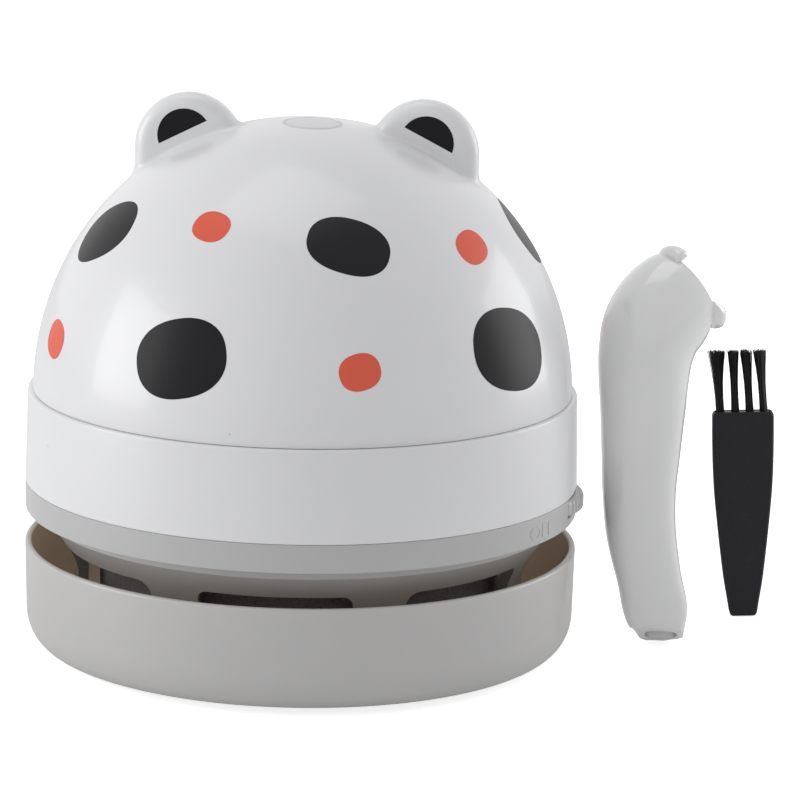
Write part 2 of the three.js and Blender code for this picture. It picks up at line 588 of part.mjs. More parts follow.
// Upper unit: motor and what holds it

const holderScrewPlaces = () => {
  const reach = motor.radius + restGap + holder.wall + holder.earReach / 2;
  return [[0, -reach], [0, reach]];
};

function motorParts() {
  const { radius, length, wall, face, bossRadius, bossDrop, capThick } = motor;
  const faceZ = band.deckTopZ + restGap;
  const endZ = faceZ + length;
  const hole = bush.radius + restGap;
  const can = turned([
    [hole, faceZ - bossDrop], [bossRadius, faceZ - bossDrop], [bossRadius, faceZ], [radius, faceZ],
    [radius, endZ], [radius - wall, endZ], [radius - wall, faceZ + face], [hole, faceZ + face],
  ], ringSegments);
  const capZ = endZ + restGap;
  const cap = tubeRing(hole, radius, capZ, capZ + capThick);
  const tabs = [-1, 1].map((side) => block(
    [side * motor.tabX - motor.tabThick / 2, side * motor.tabX + motor.tabThick / 2],
    [-motor.tabWidth / 2, motor.tabWidth / 2], [capZ + capThick - overrun, capZ + capThick + motor.tabHeight]));
  const magnetLow = faceZ + face + (length - face - motor.magnetLength) / 2;
  const outer = radius - wall - restGap;
  const magnets = [1, 2].map((number) => {
    const arc = arcShape(outer - motor.magnetThick, outer, motor.magnetAngle, quarterTurn * (2 * number - 1), 8);
    return piece(`motor_magnet_${number}`, raised(arc, magnetLow, magnetLow + motor.magnetLength), look.magnet);
  });
  const bushes = [['front', faceZ - bossDrop], ['rear', capZ + (capThick - bush.length) / 2]].map(([name, z]) =>
    piece(`${name}_bush`, tubeRing(shaft.radius + bush.play, bush.radius, z, z + bush.length, 16), look.brass));
  return [
    piece('motor_can', can, look.steel),
    piece('motor_end_cap', join(cap, ...tabs), look.black),
    ...magnets,
    ...bushes,
  ];
}

function motorHolder() {
  const { small, play } = screw;
  const bore = motor.radius + restGap;
  const lowZ = band.deckTopZ + restGap;
  const sleevePart = tubeRing(bore, bore + holder.wall, lowZ, lowZ + holder.height);
  const ears = holderScrewPlaces().map(([x, y]) => block(
    [x - holder.earWidth / 2, x + holder.earWidth / 2],
    y < 0
      ? [y - holder.earReach / 2, -bore - holder.wall / 2]
      : [bore + holder.wall / 2, y + holder.earReach / 2],
    [lowZ, lowZ + holder.earThick],
  ));
  const holes = holderScrewPlaces().map(([x, y]) =>
    rod(small.shank + play, lowZ - overrun, lowZ + holder.earThick + overrun, pinSegments, x, y));
  return piece('motor_holder', cut(join(sleevePart, ...ears), ...holes), look.black);
}

// A screw with its head's underside at the given height. It points down, or up for the deck's own
function screwAt(kind, x, y, seatZ, up) {
  const { shank, head, headHeight, length } = kind;
  const outline = [
    [0, headHeight / 2], [head / 3, headHeight], [head, headHeight], [head, 0],
    [shank, 0], [shank, -length + shank], [0, -length],
  ];
  const signed = outline.map(([radius, height]) => [radius, up ? -height : height]);
  return turned(signed, pinSegments).translate(x, y, seatZ);
}

function screws() {
  const { deck, small, play } = screw;
  const circle = deckScrewPlaces().map((azimuth) =>
    [Math.sin(azimuth) * middle.postCircle, -Math.cos(azimuth) * middle.postCircle]);
  const deckZ = band.lowZ + deck.headHeight + play;
  const holderZ = band.deckTopZ + restGap + holder.earThick + play;
  const boardZ = board.z + board.thick + play;
  const named = (name, places, make) =>
    places.map(([x, y], i) => piece(`${name}_${i + 1}`, make(x, y), look.steel));
  return [
    ...named('deck_screw', circle, (x, y) => screwAt(deck, x, y, deckZ, true)),
    ...named('holder_screw', holderScrewPlaces(), (x, y) => screwAt(small, x, y, holderZ)),
    ...named('board_screw', boardScrewPlaces(), (x, y) => screwAt(small, x, y, boardZ)),
  ];
}

// Rotor: shaft, armature and impeller

function rotorParts() {
  const faceZ = band.deckTopZ + restGap;
  const topZ = faceZ + motor.length + restGap + motor.capThick + shaft.endRise;
  const bore = shaft.radius + shaft.play;
  const spindle = rod(shaft.radius, shaft.footZ, topZ, 12);
  const magnetBore = motor.radius - motor.wall - restGap - motor.magnetThick;
  const spare = motor.length - motor.face - motor.armatureLength - motor.commutatorLength;
  const low = faceZ + motor.face + spare / 2;
  const high = low + motor.armatureLength;
  const core = tubeRing(bore, magnetBore - motor.magnetGap, low, high, 24);
  const slots = around(3, 0, (azimuth) => block([-motor.armatureSlot / 2, motor.armatureSlot / 2],
    [-motor.radius, -motor.commutatorRadius - overrun], [low - overrun, high + overrun]).rotateZ(azimuth));
  const commutator = tubeRing(bore, motor.commutatorRadius, high - overrun, high + motor.commutatorLength, 12);
  return [
    piece('motor_shaft', spindle, look.steel),
    piece('motor_armature', join(cut(core, ...slots), commutator), look.brass),
    impeller(bore),
  ];
}

function impeller(bore) {
  const { radius, discThick, deckGap, bladeHeight, bladeThick, bladeRoot, bladeSweep } = fan;
  const { hubRadius, hubDrop, hubTaper } = fan;
  const discTop = band.lowZ - deckGap;
  const discLow = discTop - discThick;
  const disc = turned([
    [bore, discTop], [bore, discTop - hubDrop], [hubRadius - hubTaper, discTop - hubDrop], [hubRadius, discLow],
    [radius, discLow], [radius, discTop],
  ], ringSegments);
  const steps = fan.bladeSteps;
  const centreLine = Array.from({ length: steps + 1 }, (_, i) => {
    const reach = bladeRoot + ((radius - bladeRoot) * i) / steps;
    const at = (bladeSweep * i * i) / (steps * steps);
    return new THREE.Vector2(reach * Math.sin(at), -reach * Math.cos(at));
  });
  const normals = centreLine.map((_, i) => {
    const along = centreLine[Math.min(i + 1, steps)].clone().sub(centreLine[Math.max(i - 1, 0)]).normalize();
    return new THREE.Vector2(-along.y, along.x).multiplyScalar(bladeThick / 2);
  });
  const side = (sign) => centreLine.map((point, i) => point.clone().addScaledVector(normals[i], sign));
  const outline = new THREE.Shape([...side(1), ...side(-1).reverse()]);
  const blades = around(fan.bladeCount, 0, (azimuth) =>
    raised(outline, discLow - bladeHeight, discLow + discThick / 2).rotateZ(azimuth));
  const rim = rod(radius, discLow - bladeHeight - overrun, discTop + overrun, ringSegments);
  return piece('impeller', join(disc, ...blades.map((blade) => common(blade, rim))), look.grey);
}

// Battery, board, socket and lamp

function batteryParts() {
  const lowZ = band.deckTopZ + 2 * restGap + cradle.floor;
  const topZ = lowZ + battery.length;
  const { radius, edge, capRadius, capHeight, x, y } = battery;
  const cell = turned([
    [0, lowZ], [radius - edge, lowZ], [radius, lowZ + edge], [radius, topZ - edge], [radius - edge, topZ],
    [capRadius, topZ], [capRadius, topZ + capHeight], [0, topZ + capHeight],
  ], rodSegments).translate(x, y, 0);
  const bore = radius + cradle.play;
  const cradleLow = band.deckTopZ + restGap;
  const wallArc = arcShape(bore, bore + cradle.wall, fullTurn - cradle.mouthAngle, 2 * quarterTurn, 14);
  const base = rod(bore + cradle.wall, cradleLow, cradleLow + cradle.floor, 28);
  const holderBody = join(base, raised(wallArc, cradleLow + cradle.floor / 2, cradleLow + cradle.height));
  return [piece('battery', cell, look.blue), piece('battery_holder', holderBody.translate(x, y, 0), look.black)];
}

const boardScrewPlaces = () => {
  const y = board.backY - board.depth + board.screwInset;
  return [[-board.screwX, y], [board.screwX, y]];
};
const socketZ = () => board.z + board.thick + restGap + socket.height / 2;

// A rod along Y at the lamp's place, reaching the band's outer face at the back
function lampRod(radius, depth) {
  const surfaceY = Math.sqrt(bodyRadius ** 2 - lamp.x ** 2);
  return rod(radius, 0, depth + overrun, 12).rotateX(-quarterTurn)
    .translate(lamp.x, surfaceY - depth, board.z + board.thick + lamp.rise);
}

function boardParts() {
  const { width, depth, thick, z, backY } = board;
  const plate = block([-width / 2, width / 2], [backY - depth, backY], [z, z + thick]);
  const holes = boardScrewPlaces().map(([x, y]) =>
    rod(screw.small.shank + screw.play, z - overrun, z + thick + overrun, pinSegments, x, y));
  const top = z + thick;
  const parts = chips.map((chip) => piece(chip.name, block([chip.x - chip.width / 2, chip.x + chip.width / 2],
    [chip.y - chip.depth / 2, chip.y + chip.depth / 2], [top, top + chip.height]), look.black));
  const shell = roundedRectangle(socket.width, socket.height, socket.round, socketZ());
  const mouth = roundedRectangle(socket.width - 2 * socket.wall, socket.height - 2 * socket.wall,
    socket.round - socket.wall, socketZ());
  const port = cut(fromFront(shell, socket.outY - socket.depth, socket.outY, 3),
    fromFront(mouth, socket.outY - socket.mouthDepth, socket.outY + overrun, 3));
  const surfaceY = Math.sqrt(bodyRadius ** 2 - lamp.x ** 2);
  const behindFace = block([0, bodyRadius], [0, surfaceY - lamp.sink], [0, band.topZ]);
  const lens = common(lampRod(lamp.radius, lamp.depth), behindFace);
  return [
    piece('circuit_board', cut(plate, ...holes), look.board),
    ...parts,
    piece('usb_socket', port.rotateZ(fullTurn / 2), look.steel),
    piece('charge_lamp', lens, look.clear),
  ];
}

// Slide switch

function switchParts() {
  const { width, lowZ, topZ, proud, backInset, edge, middleZ, stemWidth, stemHeight, stemInset } = knob;
  const { faceRadius, faceCentre } = knob;
  const back = bodyRadius - backInset;
  const face = roundedRectangle(width, topZ - lowZ, edge, middleZ);
  const roundFace = rod(faceRadius, lowZ - overrun, topZ + overrun, shellSegments, 0, -faceCentre);
  const plate = common(fromFront(face, back, bodyRadius + 2 * proud, 2), roundFace);
  const stem = block([-stemWidth / 2, stemWidth / 2], [-back - overrun / 2, -bodyRadius + stemInset],
    [middleZ - stemHeight / 2, middleZ + stemHeight / 2]);
  const outerFace = bodyRadius + proud;
  const grooves = Array.from({ length: knob.ribCount }, (_, i) => {
    const x = (i - (knob.ribCount - 1) / 2) * knob.ribPitch;
    const depthY = faceCentre + Math.sqrt(faceRadius ** 2 - x ** 2) - knob.ribDepth;
    return block([x - knob.ribWidth / 2, x + knob.ribWidth / 2], [-outerFace - overrun, -depthY],
      [lowZ - overrun, topZ + overrun]);
  });
  const button = cut(join(plate, stem), ...grooves).rotateZ(knob.azimuth);

  const { reach, height, leverWidth, leverHeight, leverIn, slotDepth } = switchBody;
  const [bodyLow, bodyBack] = [band.deckTopZ + restGap, switchBody.back];
  const shell = block([-switchBody.width / 2, switchBody.width / 2], [-bodyBack - reach, -bodyBack],
    [bodyLow, bodyLow + height]);
  const play = knob.play;
  const track = block([-leverWidth / 2 - play, leverWidth / 2 + knob.travel + play],
    [-bodyBack - reach - overrun, -bodyBack - reach + slotDepth],
    [middleZ - leverHeight / 2 - play, middleZ + leverHeight / 2 + play]);
  const lever = block([-leverWidth / 2, leverWidth / 2],
    [-bodyRadius + stemInset + restGap, -bodyBack - reach + leverIn],
    [middleZ - leverHeight / 2, middleZ + leverHeight / 2]);
  return [
    piece('switch_knob', button, look.grey),
    piece('switch_lever', lever.rotateZ(knob.azimuth), look.black),
    piece('switch_body', cut(shell, track).rotateZ(knob.azimuth), look.steel),
  ];
}

// Wires: a round section carried along a smooth curve through points chosen by hand

function wireAlong(name, points, finish) {
  const path = new THREE.CatmullRomCurve3(points.map((point) => new THREE.Vector3(...point)));
  const section = new THREE.Shape(Array.from({ length: wire.sides }, (_, i) => {
    const at = (fullTurn * i) / wire.sides;
    return new THREE.Vector2(wire.radius * Math.cos(at), wire.radius * Math.sin(at));
  }));
  const options = { steps: wire.steps, bevelEnabled: false, extrudePath: path };
  const geometry = new THREE.ExtrudeGeometry(section, options);
  return piece(name, geometry, finish);
}

function wires() {
  const end = wire.radius + restGap;
  const boardTop = board.z + board.thick + restGap;
  const cellTop = band.deckTopZ + 2 * restGap + cradle.floor + battery.length + battery.capHeight + restGap;
  const tabTop = band.deckTopZ + 2 * restGap + motor.length + motor.capThick + motor.tabHeight + restGap;
  const cellX = battery.x + battery.radius + restGap + end;
  const { tabX } = motor;
  const rise = wire.radius * 8;
  const boardRow = board.backY - board.depth + board.screwInset;
  const switchZ = band.deckTopZ + switchBody.height / 2 + restGap;
  const [sine, cosine] = [Math.sin(knob.azimuth), Math.cos(knob.azimuth)];
  const byTheSwitch = (inward, aside, height) => {
    const outward = switchBody.back - inward;
    return [sine * outward + cosine * aside, sine * aside - cosine * outward, height];
  };
  return [
    wireAlong('wire_battery_red', [
      [battery.x, battery.y, cellTop], [battery.x, battery.y, cellTop + rise / 2],
      [battery.x + rise, boardRow / 2, cellTop], [-rise, boardRow * 0.8, cellTop * 0.7],
      [-tabX, boardRow + rise, boardTop + rise], [-tabX, boardRow + rise, boardTop],
    ], look.red),
    wireAlong('wire_battery_black', [
      [cellX, battery.y + rise, band.deckTopZ + end], [cellX + end, boardRow / 2, band.deckTopZ + end],
      [-tabX, boardRow * 0.8, band.deckTopZ + rise], [0, boardRow - rise / 2, boardTop + rise],
      [0, boardRow + rise / 4, boardTop + rise / 2], [0, boardRow + rise / 4, boardTop],
    ], look.black),
    wireAlong('wire_motor_red', [
      [-tabX, 0, tabTop], [-tabX, rise / 2, tabTop + rise / 2], [-tabX / 2, boardRow / 2, tabTop],
      [rise, boardRow, tabTop * 0.7], [tabX, boardRow + rise, boardTop + rise], [tabX, boardRow + rise, boardTop],
    ], look.red),
    wireAlong('wire_motor_black', [
      [tabX, 0, tabTop], [tabX + rise / 4, 0, tabTop + rise / 2], byTheSwitch(switchBody.back / 2, 0, tabTop),
      byTheSwitch(rise * 1.2, rise * 0.6, switchZ + 2 * rise), byTheSwitch(rise * 0.6, rise / 4, switchZ + rise / 3),
      byTheSwitch(end * 1.6, 0, switchZ),
    ], look.black),
  ];
}

// The nozzle: an open tube through its stations, cut slanting at the tip, with lugs at its round end

function nozzleRings(inset) {
  const { stations, sides } = nozzle;
  const path = new THREE.CatmullRomCurve3(stations.map(({ side, back, z }) => new THREE.Vector3(side, back, z)));
  return stations.map(({ side, back, z, half, deep, power }, index) => {
    const along = path.getTangent(index / (stations.length - 1));
    const across = new THREE.Vector3(along.z, 0, -along.x).normalize();
    const inward = new THREE.Vector3().crossVectors(along, across);
    return Array.from({ length: sides }, (_, i) => {
      const turn = (fullTurn * (i + 0.5)) / sides;
      const [c, s] = [Math.cos(turn), Math.sin(turn)];
      const u = (half - inset) * Math.sign(c) * Math.abs(c) ** (2 / power);
      const v = (deep - inset) * Math.sign(s) * Math.abs(s) ** (2 / power);
      const point = new THREE.Vector3(side, back, z).addScaledVector(across, u).addScaledVector(inward, v);
      if (index === 0) {
        const { rise, frontRise, leftRise } = nozzle.tip;
        const slant = (frontRise * (back - point.y)) / deep + (leftRise * (side - point.x)) / half;
        point.z = Math.max(0, rise + slant);
      }
      return point;
    });
  });
}

function nozzlePiece() {
  const rings = [...nozzleRings(0), ...nozzleRings(nozzle.wall).reverse()];
  const count = nozzle.sides;
  const positions = rings.flat().flatMap((point) => point.toArray());
  const faces = [];
  rings.forEach((_, r) => {
    for (let i = 0; i < count; i += 1) {
      const [near, next] = [r * count, ((r + 1) % rings.length) * count];
      const [a, b] = [i, (i + 1) % count];
      faces.push(near + a, near + b, next + b, near + a, next + b, next + a);
    }
  });
  const tube = new THREE.BufferGeometry();
  tube.setAttribute('position', new THREE.Float32BufferAttribute(positions, 3));
  tube.setIndex(faces);
  const { stations } = nozzle;
  const [before, mouth] = stations.slice(-2).map(({ side, back, z }) => new THREE.Vector3(side, back, z));
  const out = mouth.clone().sub(before).normalize();
  const across = new THREE.Vector3(out.z, 0, -out.x).normalize();
  const inward = new THREE.Vector3().crossVectors(out, across);
  const frame = new THREE.Matrix4().makeBasis(across, inward, out).setPosition(mouth);
  const { radius, lugWidth, lugSink, lugOutline } = spigot;
  const outline = lugOutline.map(({ along, rise }) => new THREE.Vector2(radius + rise, along));
  const root = [lugOutline.at(-1).along, lugOutline[0].along].map((along) =>
    new THREE.Vector2(radius - lugSink, along));
  const lugShape = new THREE.Shape([...outline, ...root]);
  const lugs = around(spigot.lugCount, spigot.lugStart, (turn) =>
    fromFront(lugShape, -lugWidth / 2, lugWidth / 2).rotateZ(turn).applyMatrix4(frame));
  const whole = join(tube, ...lugs).rotateZ(viewAngle).translate(nozzle.x, nozzle.y, 0);
  return piece('nozzle', whole, look.grey);
}

// The cleaning brush: a flat waisted handle, and strands that spread in a spiral from each tuft's root

function standing(geometry) {
  geometry.rotateY(brush.lean).translate(0, 0, brush.lift);
  return geometry.rotateZ(viewAngle).translate(brush.x, brush.y, 0);
}

function brushHandle() {
  const { outline, thick, height, cornerRound, slotWidth, slotDepth, slotThick } = brush;
  const half = outline.at(-1).half;
  const right = outline.slice(0, -1).map(({ z, half: x }) => [x, z]);
  const corner = bend([half, height - cornerRound], [half, height], [half - cornerRound, height], 3);
  const rightSide = [...right, ...corner].map(([x, z]) => new THREE.Vector2(x, z));
  const leftSide = rightSide.map((point) => new THREE.Vector2(-point.x, point.y)).reverse();
  const plate = fromFront(new THREE.Shape([...rightSide, ...leftSide]), -thick / 2, thick / 2);
  const slot = block([-slotWidth / 2, slotWidth / 2], [-slotThick / 2, slotThick / 2],
    [height - slotDepth, height + overrun]);
  return piece('brush_handle', standing(cut(plate, slot)), look.black);
}

function brushBristles() {
  const { strandsPerTuft, radius, length, sink, unevenness, plateGap, rootWidth, rootDepth, tufts } = bristle;
  const goldenTurn = fullTurn * (1 - 2 / (1 + Math.sqrt(5)));
  const section = new THREE.Shape([0, 1, 2].map((i) =>
    new THREE.Vector2(radius * Math.cos((fullTurn * i) / 3), radius * Math.sin((fullTurn * i) / 3))));
  const topZ = brush.height;
  const plate = block([-brush.slotWidth / 2 + plateGap, brush.slotWidth / 2 - plateGap],
    [-brush.slotThick / 2 + plateGap, brush.slotThick / 2 - plateGap], [topZ - brush.slotDepth + plateGap, topZ]);
  const strands = tufts.flatMap((tuft) => Array.from({ length: strandsPerTuft }, (_, i) => {
    const out = Math.sqrt((i + 0.5) / strandsPerTuft);
    const [c, s] = [out * Math.cos(goldenTurn * i), out * Math.sin(goldenTurn * i)];
    const root = new THREE.Vector3(tuft.x + rootWidth * c, rootDepth * s, topZ);
    const tipZ = topZ + length - unevenness * (0.5 + 0.5 * Math.sin(goldenTurn * i * i));
    const tip = new THREE.Vector3(tuft.tipX + tuft.tipWidth * c, tuft.tipDepth * s, tipZ);
    const along = tip.clone().sub(root).normalize();
    root.addScaledVector(along, -sink);
    const hair = new THREE.ExtrudeGeometry(section, { depth: root.distanceTo(tip), bevelEnabled: false });
    hair.applyQuaternion(new THREE.Quaternion().setFromUnitVectors(new THREE.Vector3(0, 0, 1), along));
    return hair.translate(...root.toArray());
  }));
  return piece('brush_bristles', standing(join(plate, ...strands)), look.black);
}

// The whole set, with its origin on the desk below the middle of the set's own width
const model = new THREE.Group();
const set = new THREE.Group();
set.add(
  lowerBowl(), ...feet(), ...sweeperStrips(), inletTube(), dustBasket(), filterSleeve(),
  chassis(), sealRing(), middleBand(), domeShell(), ...motorParts(), motorHolder(), ...screws(),
  ...rotorParts(), ...batteryParts(), ...boardParts(), ...switchParts(), ...wires(),
  nozzlePiece(), brushHandle(), brushBristles(),
);
const bounds = new THREE.Box3().setFromObject(set);
set.position.set(-(bounds.min.x + bounds.max.x) / 2, -(bounds.min.y + bounds.max.y) / 2, 0);
model.add(set);

export default model;
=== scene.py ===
# %% [markdown]
# A desktop mini vacuum cleaner. The engineering model fixes every size and place, and this script
# dresses it: smooth shells instead of faceted ones, real plastics, printed patches, soft studio light.

# %% Load the fixed frame
import json
import bmesh
import bpy
import numpy as np
from mathutils import Matrix, Vector


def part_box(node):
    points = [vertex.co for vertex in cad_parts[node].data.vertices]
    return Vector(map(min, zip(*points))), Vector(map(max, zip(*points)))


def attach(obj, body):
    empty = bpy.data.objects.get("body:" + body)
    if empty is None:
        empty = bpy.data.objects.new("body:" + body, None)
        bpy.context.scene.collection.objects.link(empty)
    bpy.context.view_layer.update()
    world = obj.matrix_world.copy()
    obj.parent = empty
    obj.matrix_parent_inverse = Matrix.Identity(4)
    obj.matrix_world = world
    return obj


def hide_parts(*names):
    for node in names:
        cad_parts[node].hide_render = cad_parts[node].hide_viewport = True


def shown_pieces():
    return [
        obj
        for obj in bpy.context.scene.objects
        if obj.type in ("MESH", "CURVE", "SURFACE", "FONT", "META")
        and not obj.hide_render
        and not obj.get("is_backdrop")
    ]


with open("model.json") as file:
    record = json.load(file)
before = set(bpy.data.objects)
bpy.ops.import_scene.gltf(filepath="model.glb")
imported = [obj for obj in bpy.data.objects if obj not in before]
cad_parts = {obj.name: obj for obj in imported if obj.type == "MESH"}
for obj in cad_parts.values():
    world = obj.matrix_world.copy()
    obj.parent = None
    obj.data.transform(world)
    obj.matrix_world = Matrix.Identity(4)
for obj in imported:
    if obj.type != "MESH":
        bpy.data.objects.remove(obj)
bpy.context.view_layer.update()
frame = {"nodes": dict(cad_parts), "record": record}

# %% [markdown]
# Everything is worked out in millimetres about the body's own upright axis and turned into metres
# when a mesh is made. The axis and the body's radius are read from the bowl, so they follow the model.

MM = 0.001
bowl_low, bowl_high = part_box("lower_bowl")
axis_x = (bowl_low.x + bowl_high.x) / 2 / MM
body_radius = (bowl_high.x - bowl_low.x) / 2 / MM
print(f"axis at x = {axis_x:.2f} mm, body radius {body_radius:.2f} mm")

# %% [markdown]
# The camera looks the way the photograph does: a long lens, 0.8 m away, a little above the dome and
# six degrees to the right of the front. A small shift frames the body left of the middle.

# %% Camera
view_azimuth = np.radians(6)
camera_distance, camera_height, aim_height = 800, 225.55, 45.7
camera_roll, lens_length, sensor_width, frame_shift = 0.0161, 203.93, 36, 0.122


def unit(vectors):
    """Each vector divided by its own length."""
    return vectors / np.linalg.norm(vectors, axis=-1, keepdims=True)


def put_in_scene(name, data):
    """A new object that holds the data, linked to the scene."""
    made = bpy.data.objects.new(name, data)
    bpy.context.scene.collection.objects.link(made)
    return made


eye = np.array([axis_x + camera_distance * np.sin(view_azimuth), -camera_distance * np.cos(view_azimuth),
                camera_height])
forward = unit(np.array([axis_x, 0, aim_height]) - eye)
level_right = unit(np.cross(forward, [0, 0, 1]))
level_up = np.cross(level_right, forward)
right = np.cos(camera_roll) * level_right + np.sin(camera_roll) * level_up
up = np.cos(camera_roll) * level_up - np.sin(camera_roll) * level_right
camera_data = bpy.data.cameras.new("camera")
camera_data.lens, camera_data.sensor_width, camera_data.shift_x = lens_length, sensor_width, frame_shift
camera = put_in_scene("camera", camera_data)
turn = Matrix(np.stack([right, up, -forward], axis=1).tolist()).to_4x4()
camera.matrix_world = Matrix.Translation(Vector(eye * MM)) @ turn
bpy.context.scene.camera = camera
print("camera at", np.round(eye, 1), "mm")

# %% [markdown]
# The studio is plain: a white floor, a white surround that the camera and reflections see, and three
# soft boxes. The left one is strongest, so the white shell fades towards its middle right, and a
# weaker one on the right lifts that edge again.

# %% Studio
fill_strength, lamp_aim_height = 0.52, 50


def fill(tree, node, inputs):
    """Sets a node's inputs to numbers, or links them to other nodes' outputs."""
    for key, value in inputs.items():
        if isinstance(value, bpy.types.NodeSocket):
            tree.links.new(value, node.inputs[key])
        else:
            node.inputs[key].default_value = value


def new_node(tree, kind, inputs=None, **settings):
    """Adds one shader node, sets its options, then fills its inputs."""
    made = tree.nodes.new(kind)
    for key, value in settings.items():
        setattr(made, key, value)
    fill(tree, made, inputs or {})
    return made


def math_node(tree, operation, first, second=0.0, third=0.0):
    """One arithmetic node's output."""
    return new_node(tree, "ShaderNodeMath", {0: first, 1: second, 2: third}, operation=operation).outputs[0]


def seen_by_eye_or_mirror(tree):
    """One where the ray comes from the camera, a reflection or a refraction, and zero elsewhere."""
    path = new_node(tree, "ShaderNodeLightPath")
    first = math_node(tree, "MAXIMUM", path.outputs["Is Camera Ray"], path.outputs["Is Glossy Ray"])
    return math_node(tree, "MAXIMUM", first, path.outputs["Is Transmission Ray"])


def make_world():
    """A surround that lights softly with fill_strength and shows as white."""
    world = bpy.data.worlds.new("surround")
    world.use_nodes = True
    tree = world.node_tree
    tree.nodes.clear()
    light = new_node(tree, "ShaderNodeBackground", {"Color": (0.98, 0.985, 1, 1), "Strength": fill_strength})
    white = new_node(tree, "ShaderNodeBackground", {"Color": (1, 1, 1, 1), "Strength": 1})
    mix = new_node(tree, "ShaderNodeMixShader", {0: seen_by_eye_or_mirror(tree), 1: light.outputs[0],
                                                 2: white.outputs[0]})
    new_node(tree, "ShaderNodeOutputWorld", {"Surface": mix.outputs[0]})
    return world


def soft_box(name, place, width, power):
    """A square lamp of the given width and power at a place from the axis, facing the body's middle."""
    lamp = bpy.data.lights.new(name, "AREA")
    lamp.shape, lamp.size, lamp.energy = "SQUARE", width * MM, power
    spot = Vector((axis_x + place[0], place[1], place[2])) * MM
    target = Vector((axis_x, 0, lamp_aim_height)) * MM
    facing = (target - spot).to_track_quat("-Z", "Y").to_matrix().to_4x4()
    put_in_scene(name, lamp).matrix_world = Matrix.Translation(spot) @ facing


bpy.context.scene.world = make_world()
soft_box("left box", (-680, -190, 210), 420, 1.85)
soft_box("right box", (600, 300, 170), 380, 1.15)
soft_box("top box", (-60, 40, 700), 420, 0.7)
bpy.context.scene.view_settings.view_transform = "Standard"
print("lamps in W:", {lamp.name: round(lamp.energy, 2) for lamp in bpy.data.lights})

# %% Floor
floor_half = 4000
glow_for_all, glow_for_camera = 0.12, 0.6


def white_floor_finish():
    """Matt white over a faint glow, like a light table; camera rays get more of it, so open floor is
    white."""
    material = bpy.data.materials.new("studio floor")
    material.use_nodes = True
    tree = material.node_tree
    tree.nodes.clear()
    matt = new_node(tree, "ShaderNodeBsdfDiffuse", {"Color": (0.88, 0.88, 0.88, 1)})
    path = new_node(tree, "ShaderNodeLightPath")
    strength = math_node(tree, "MULTIPLY_ADD", path.outputs["Is Camera Ray"], glow_for_camera, glow_for_all)
    glow = new_node(tree, "ShaderNodeEmission", {"Color": (1, 1, 1, 1), "Strength": strength})
    both = new_node(tree, "ShaderNodeAddShader", {0: matt.outputs[0], 1: glow.outputs[0]})
    new_node(tree, "ShaderNodeOutputMaterial", {"Surface": both.outputs[0]})
    return material


floor_mesh = bpy.data.meshes.new("floor")
floor_corners = np.array([(-1, -1, 0), (1, -1, 0), (1, 1, 0), (-1, 1, 0)]) * floor_half * MM
floor_mesh.from_pydata(floor_corners.tolist(), [], [(0, 1, 2, 3)])
floor_mesh.materials.append(white_floor_finish())
floor = put_in_scene("floor", floor_mesh)
floor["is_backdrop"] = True
print("floor:", 2 * floor_half, "mm wide")

# %% [markdown]
# Four effects come back in many finishes, so each is a node group: the fine grain of a moulding tool,
# the faint cloudiness of a large plastic surface, scattered dust, and a woven cloth. A group gives out
# only colours, masks and heights, and each material keeps its own shader.

# %% Shared surface effects
finer_share, rough_share, fluff_scale = 3.1, 0.8, 1500.0
smallest_speck, speck_spread = 0.03, 0.05


def effect(name, inputs, outputs):
    """An empty shader node group with named sockets, and its input and output nodes."""
    group = bpy.data.node_groups.new(name, "ShaderNodeTree")
    kinds = {"vector": "NodeSocketVector", "colour": "NodeSocketColor", "value": "NodeSocketFloat"}
    for label, kind in inputs:
        group.interface.new_socket(label, in_out="INPUT", socket_type=kinds[kind])
    for label, kind in outputs:
        group.interface.new_socket(label, in_out="OUTPUT", socket_type=kinds[kind])
    return group, group.nodes.new("NodeGroupInput").outputs, group.nodes.new("NodeGroupOutput")


def per_millimetre(tree, size):
    """A texture scale whose features have the given size in millimetres, on coordinates in metres."""
    return math_node(tree, "DIVIDE", 1000, size)


def noise(tree, place, scale, detail):
    """Soft noise from 0 to 1."""
    inputs = {"Vector": place, "Scale": scale, "Detail": detail}
    return new_node(tree, "ShaderNodeTexNoise", inputs).outputs[0]


def mixed(tree, share, first, second, blend="MIX"):
    """Two colours mixed by a share from 0 to 1."""
    inputs = {"Factor": share, 6: first, 7: second}
    return new_node(tree, "ShaderNodeMix", inputs, data_type="RGBA", blend_type=blend).outputs[2]


def make_fine_grain():
    """Height = fine noise plus half as much noise of a third of the size."""
    group, given, out = effect("fine grain", [("Place", "vector"), ("Grain size", "value")],
                               [("Height", "value")])
    scale = per_millimetre(group, given["Grain size"])
    coarse = noise(group, given["Place"], scale, 2)
    finer = noise(group, given["Place"], math_node(group, "MULTIPLY", scale, finer_share), 1)
    fill(group, out, {"Height": math_node(group, "MULTIPLY_ADD", finer, 0.5, coarse)})
    return group


def make_soft_cloud():
    """Colour times 1 plus Amount times slow noise about zero; the same noise shifts the roughness."""
    group, given, out = effect(
        "soft cloud",
        [("Place", "vector"), ("Colour", "colour"), ("Cloud size", "value"), ("Amount", "value"),
         ("Roughness", "value")],
        [("Colour", "colour"), ("Roughness", "value")])
    slow = noise(group, given["Place"], per_millimetre(group, given["Cloud size"]), 3)
    swing = math_node(group, "MULTIPLY", math_node(group, "SUBTRACT", slow, 0.5), given["Amount"])
    factor = math_node(group, "ADD", swing, 1)
    grey = new_node(group, "ShaderNodeCombineColor", {0: factor, 1: factor, 2: factor}).outputs[0]
    fill(group, out, {"Colour": mixed(group, 1.0, given["Colour"], grey, blend="MULTIPLY"),
                      "Roughness": math_node(group, "MULTIPLY_ADD", swing, rough_share, given["Roughness"])})
    return group


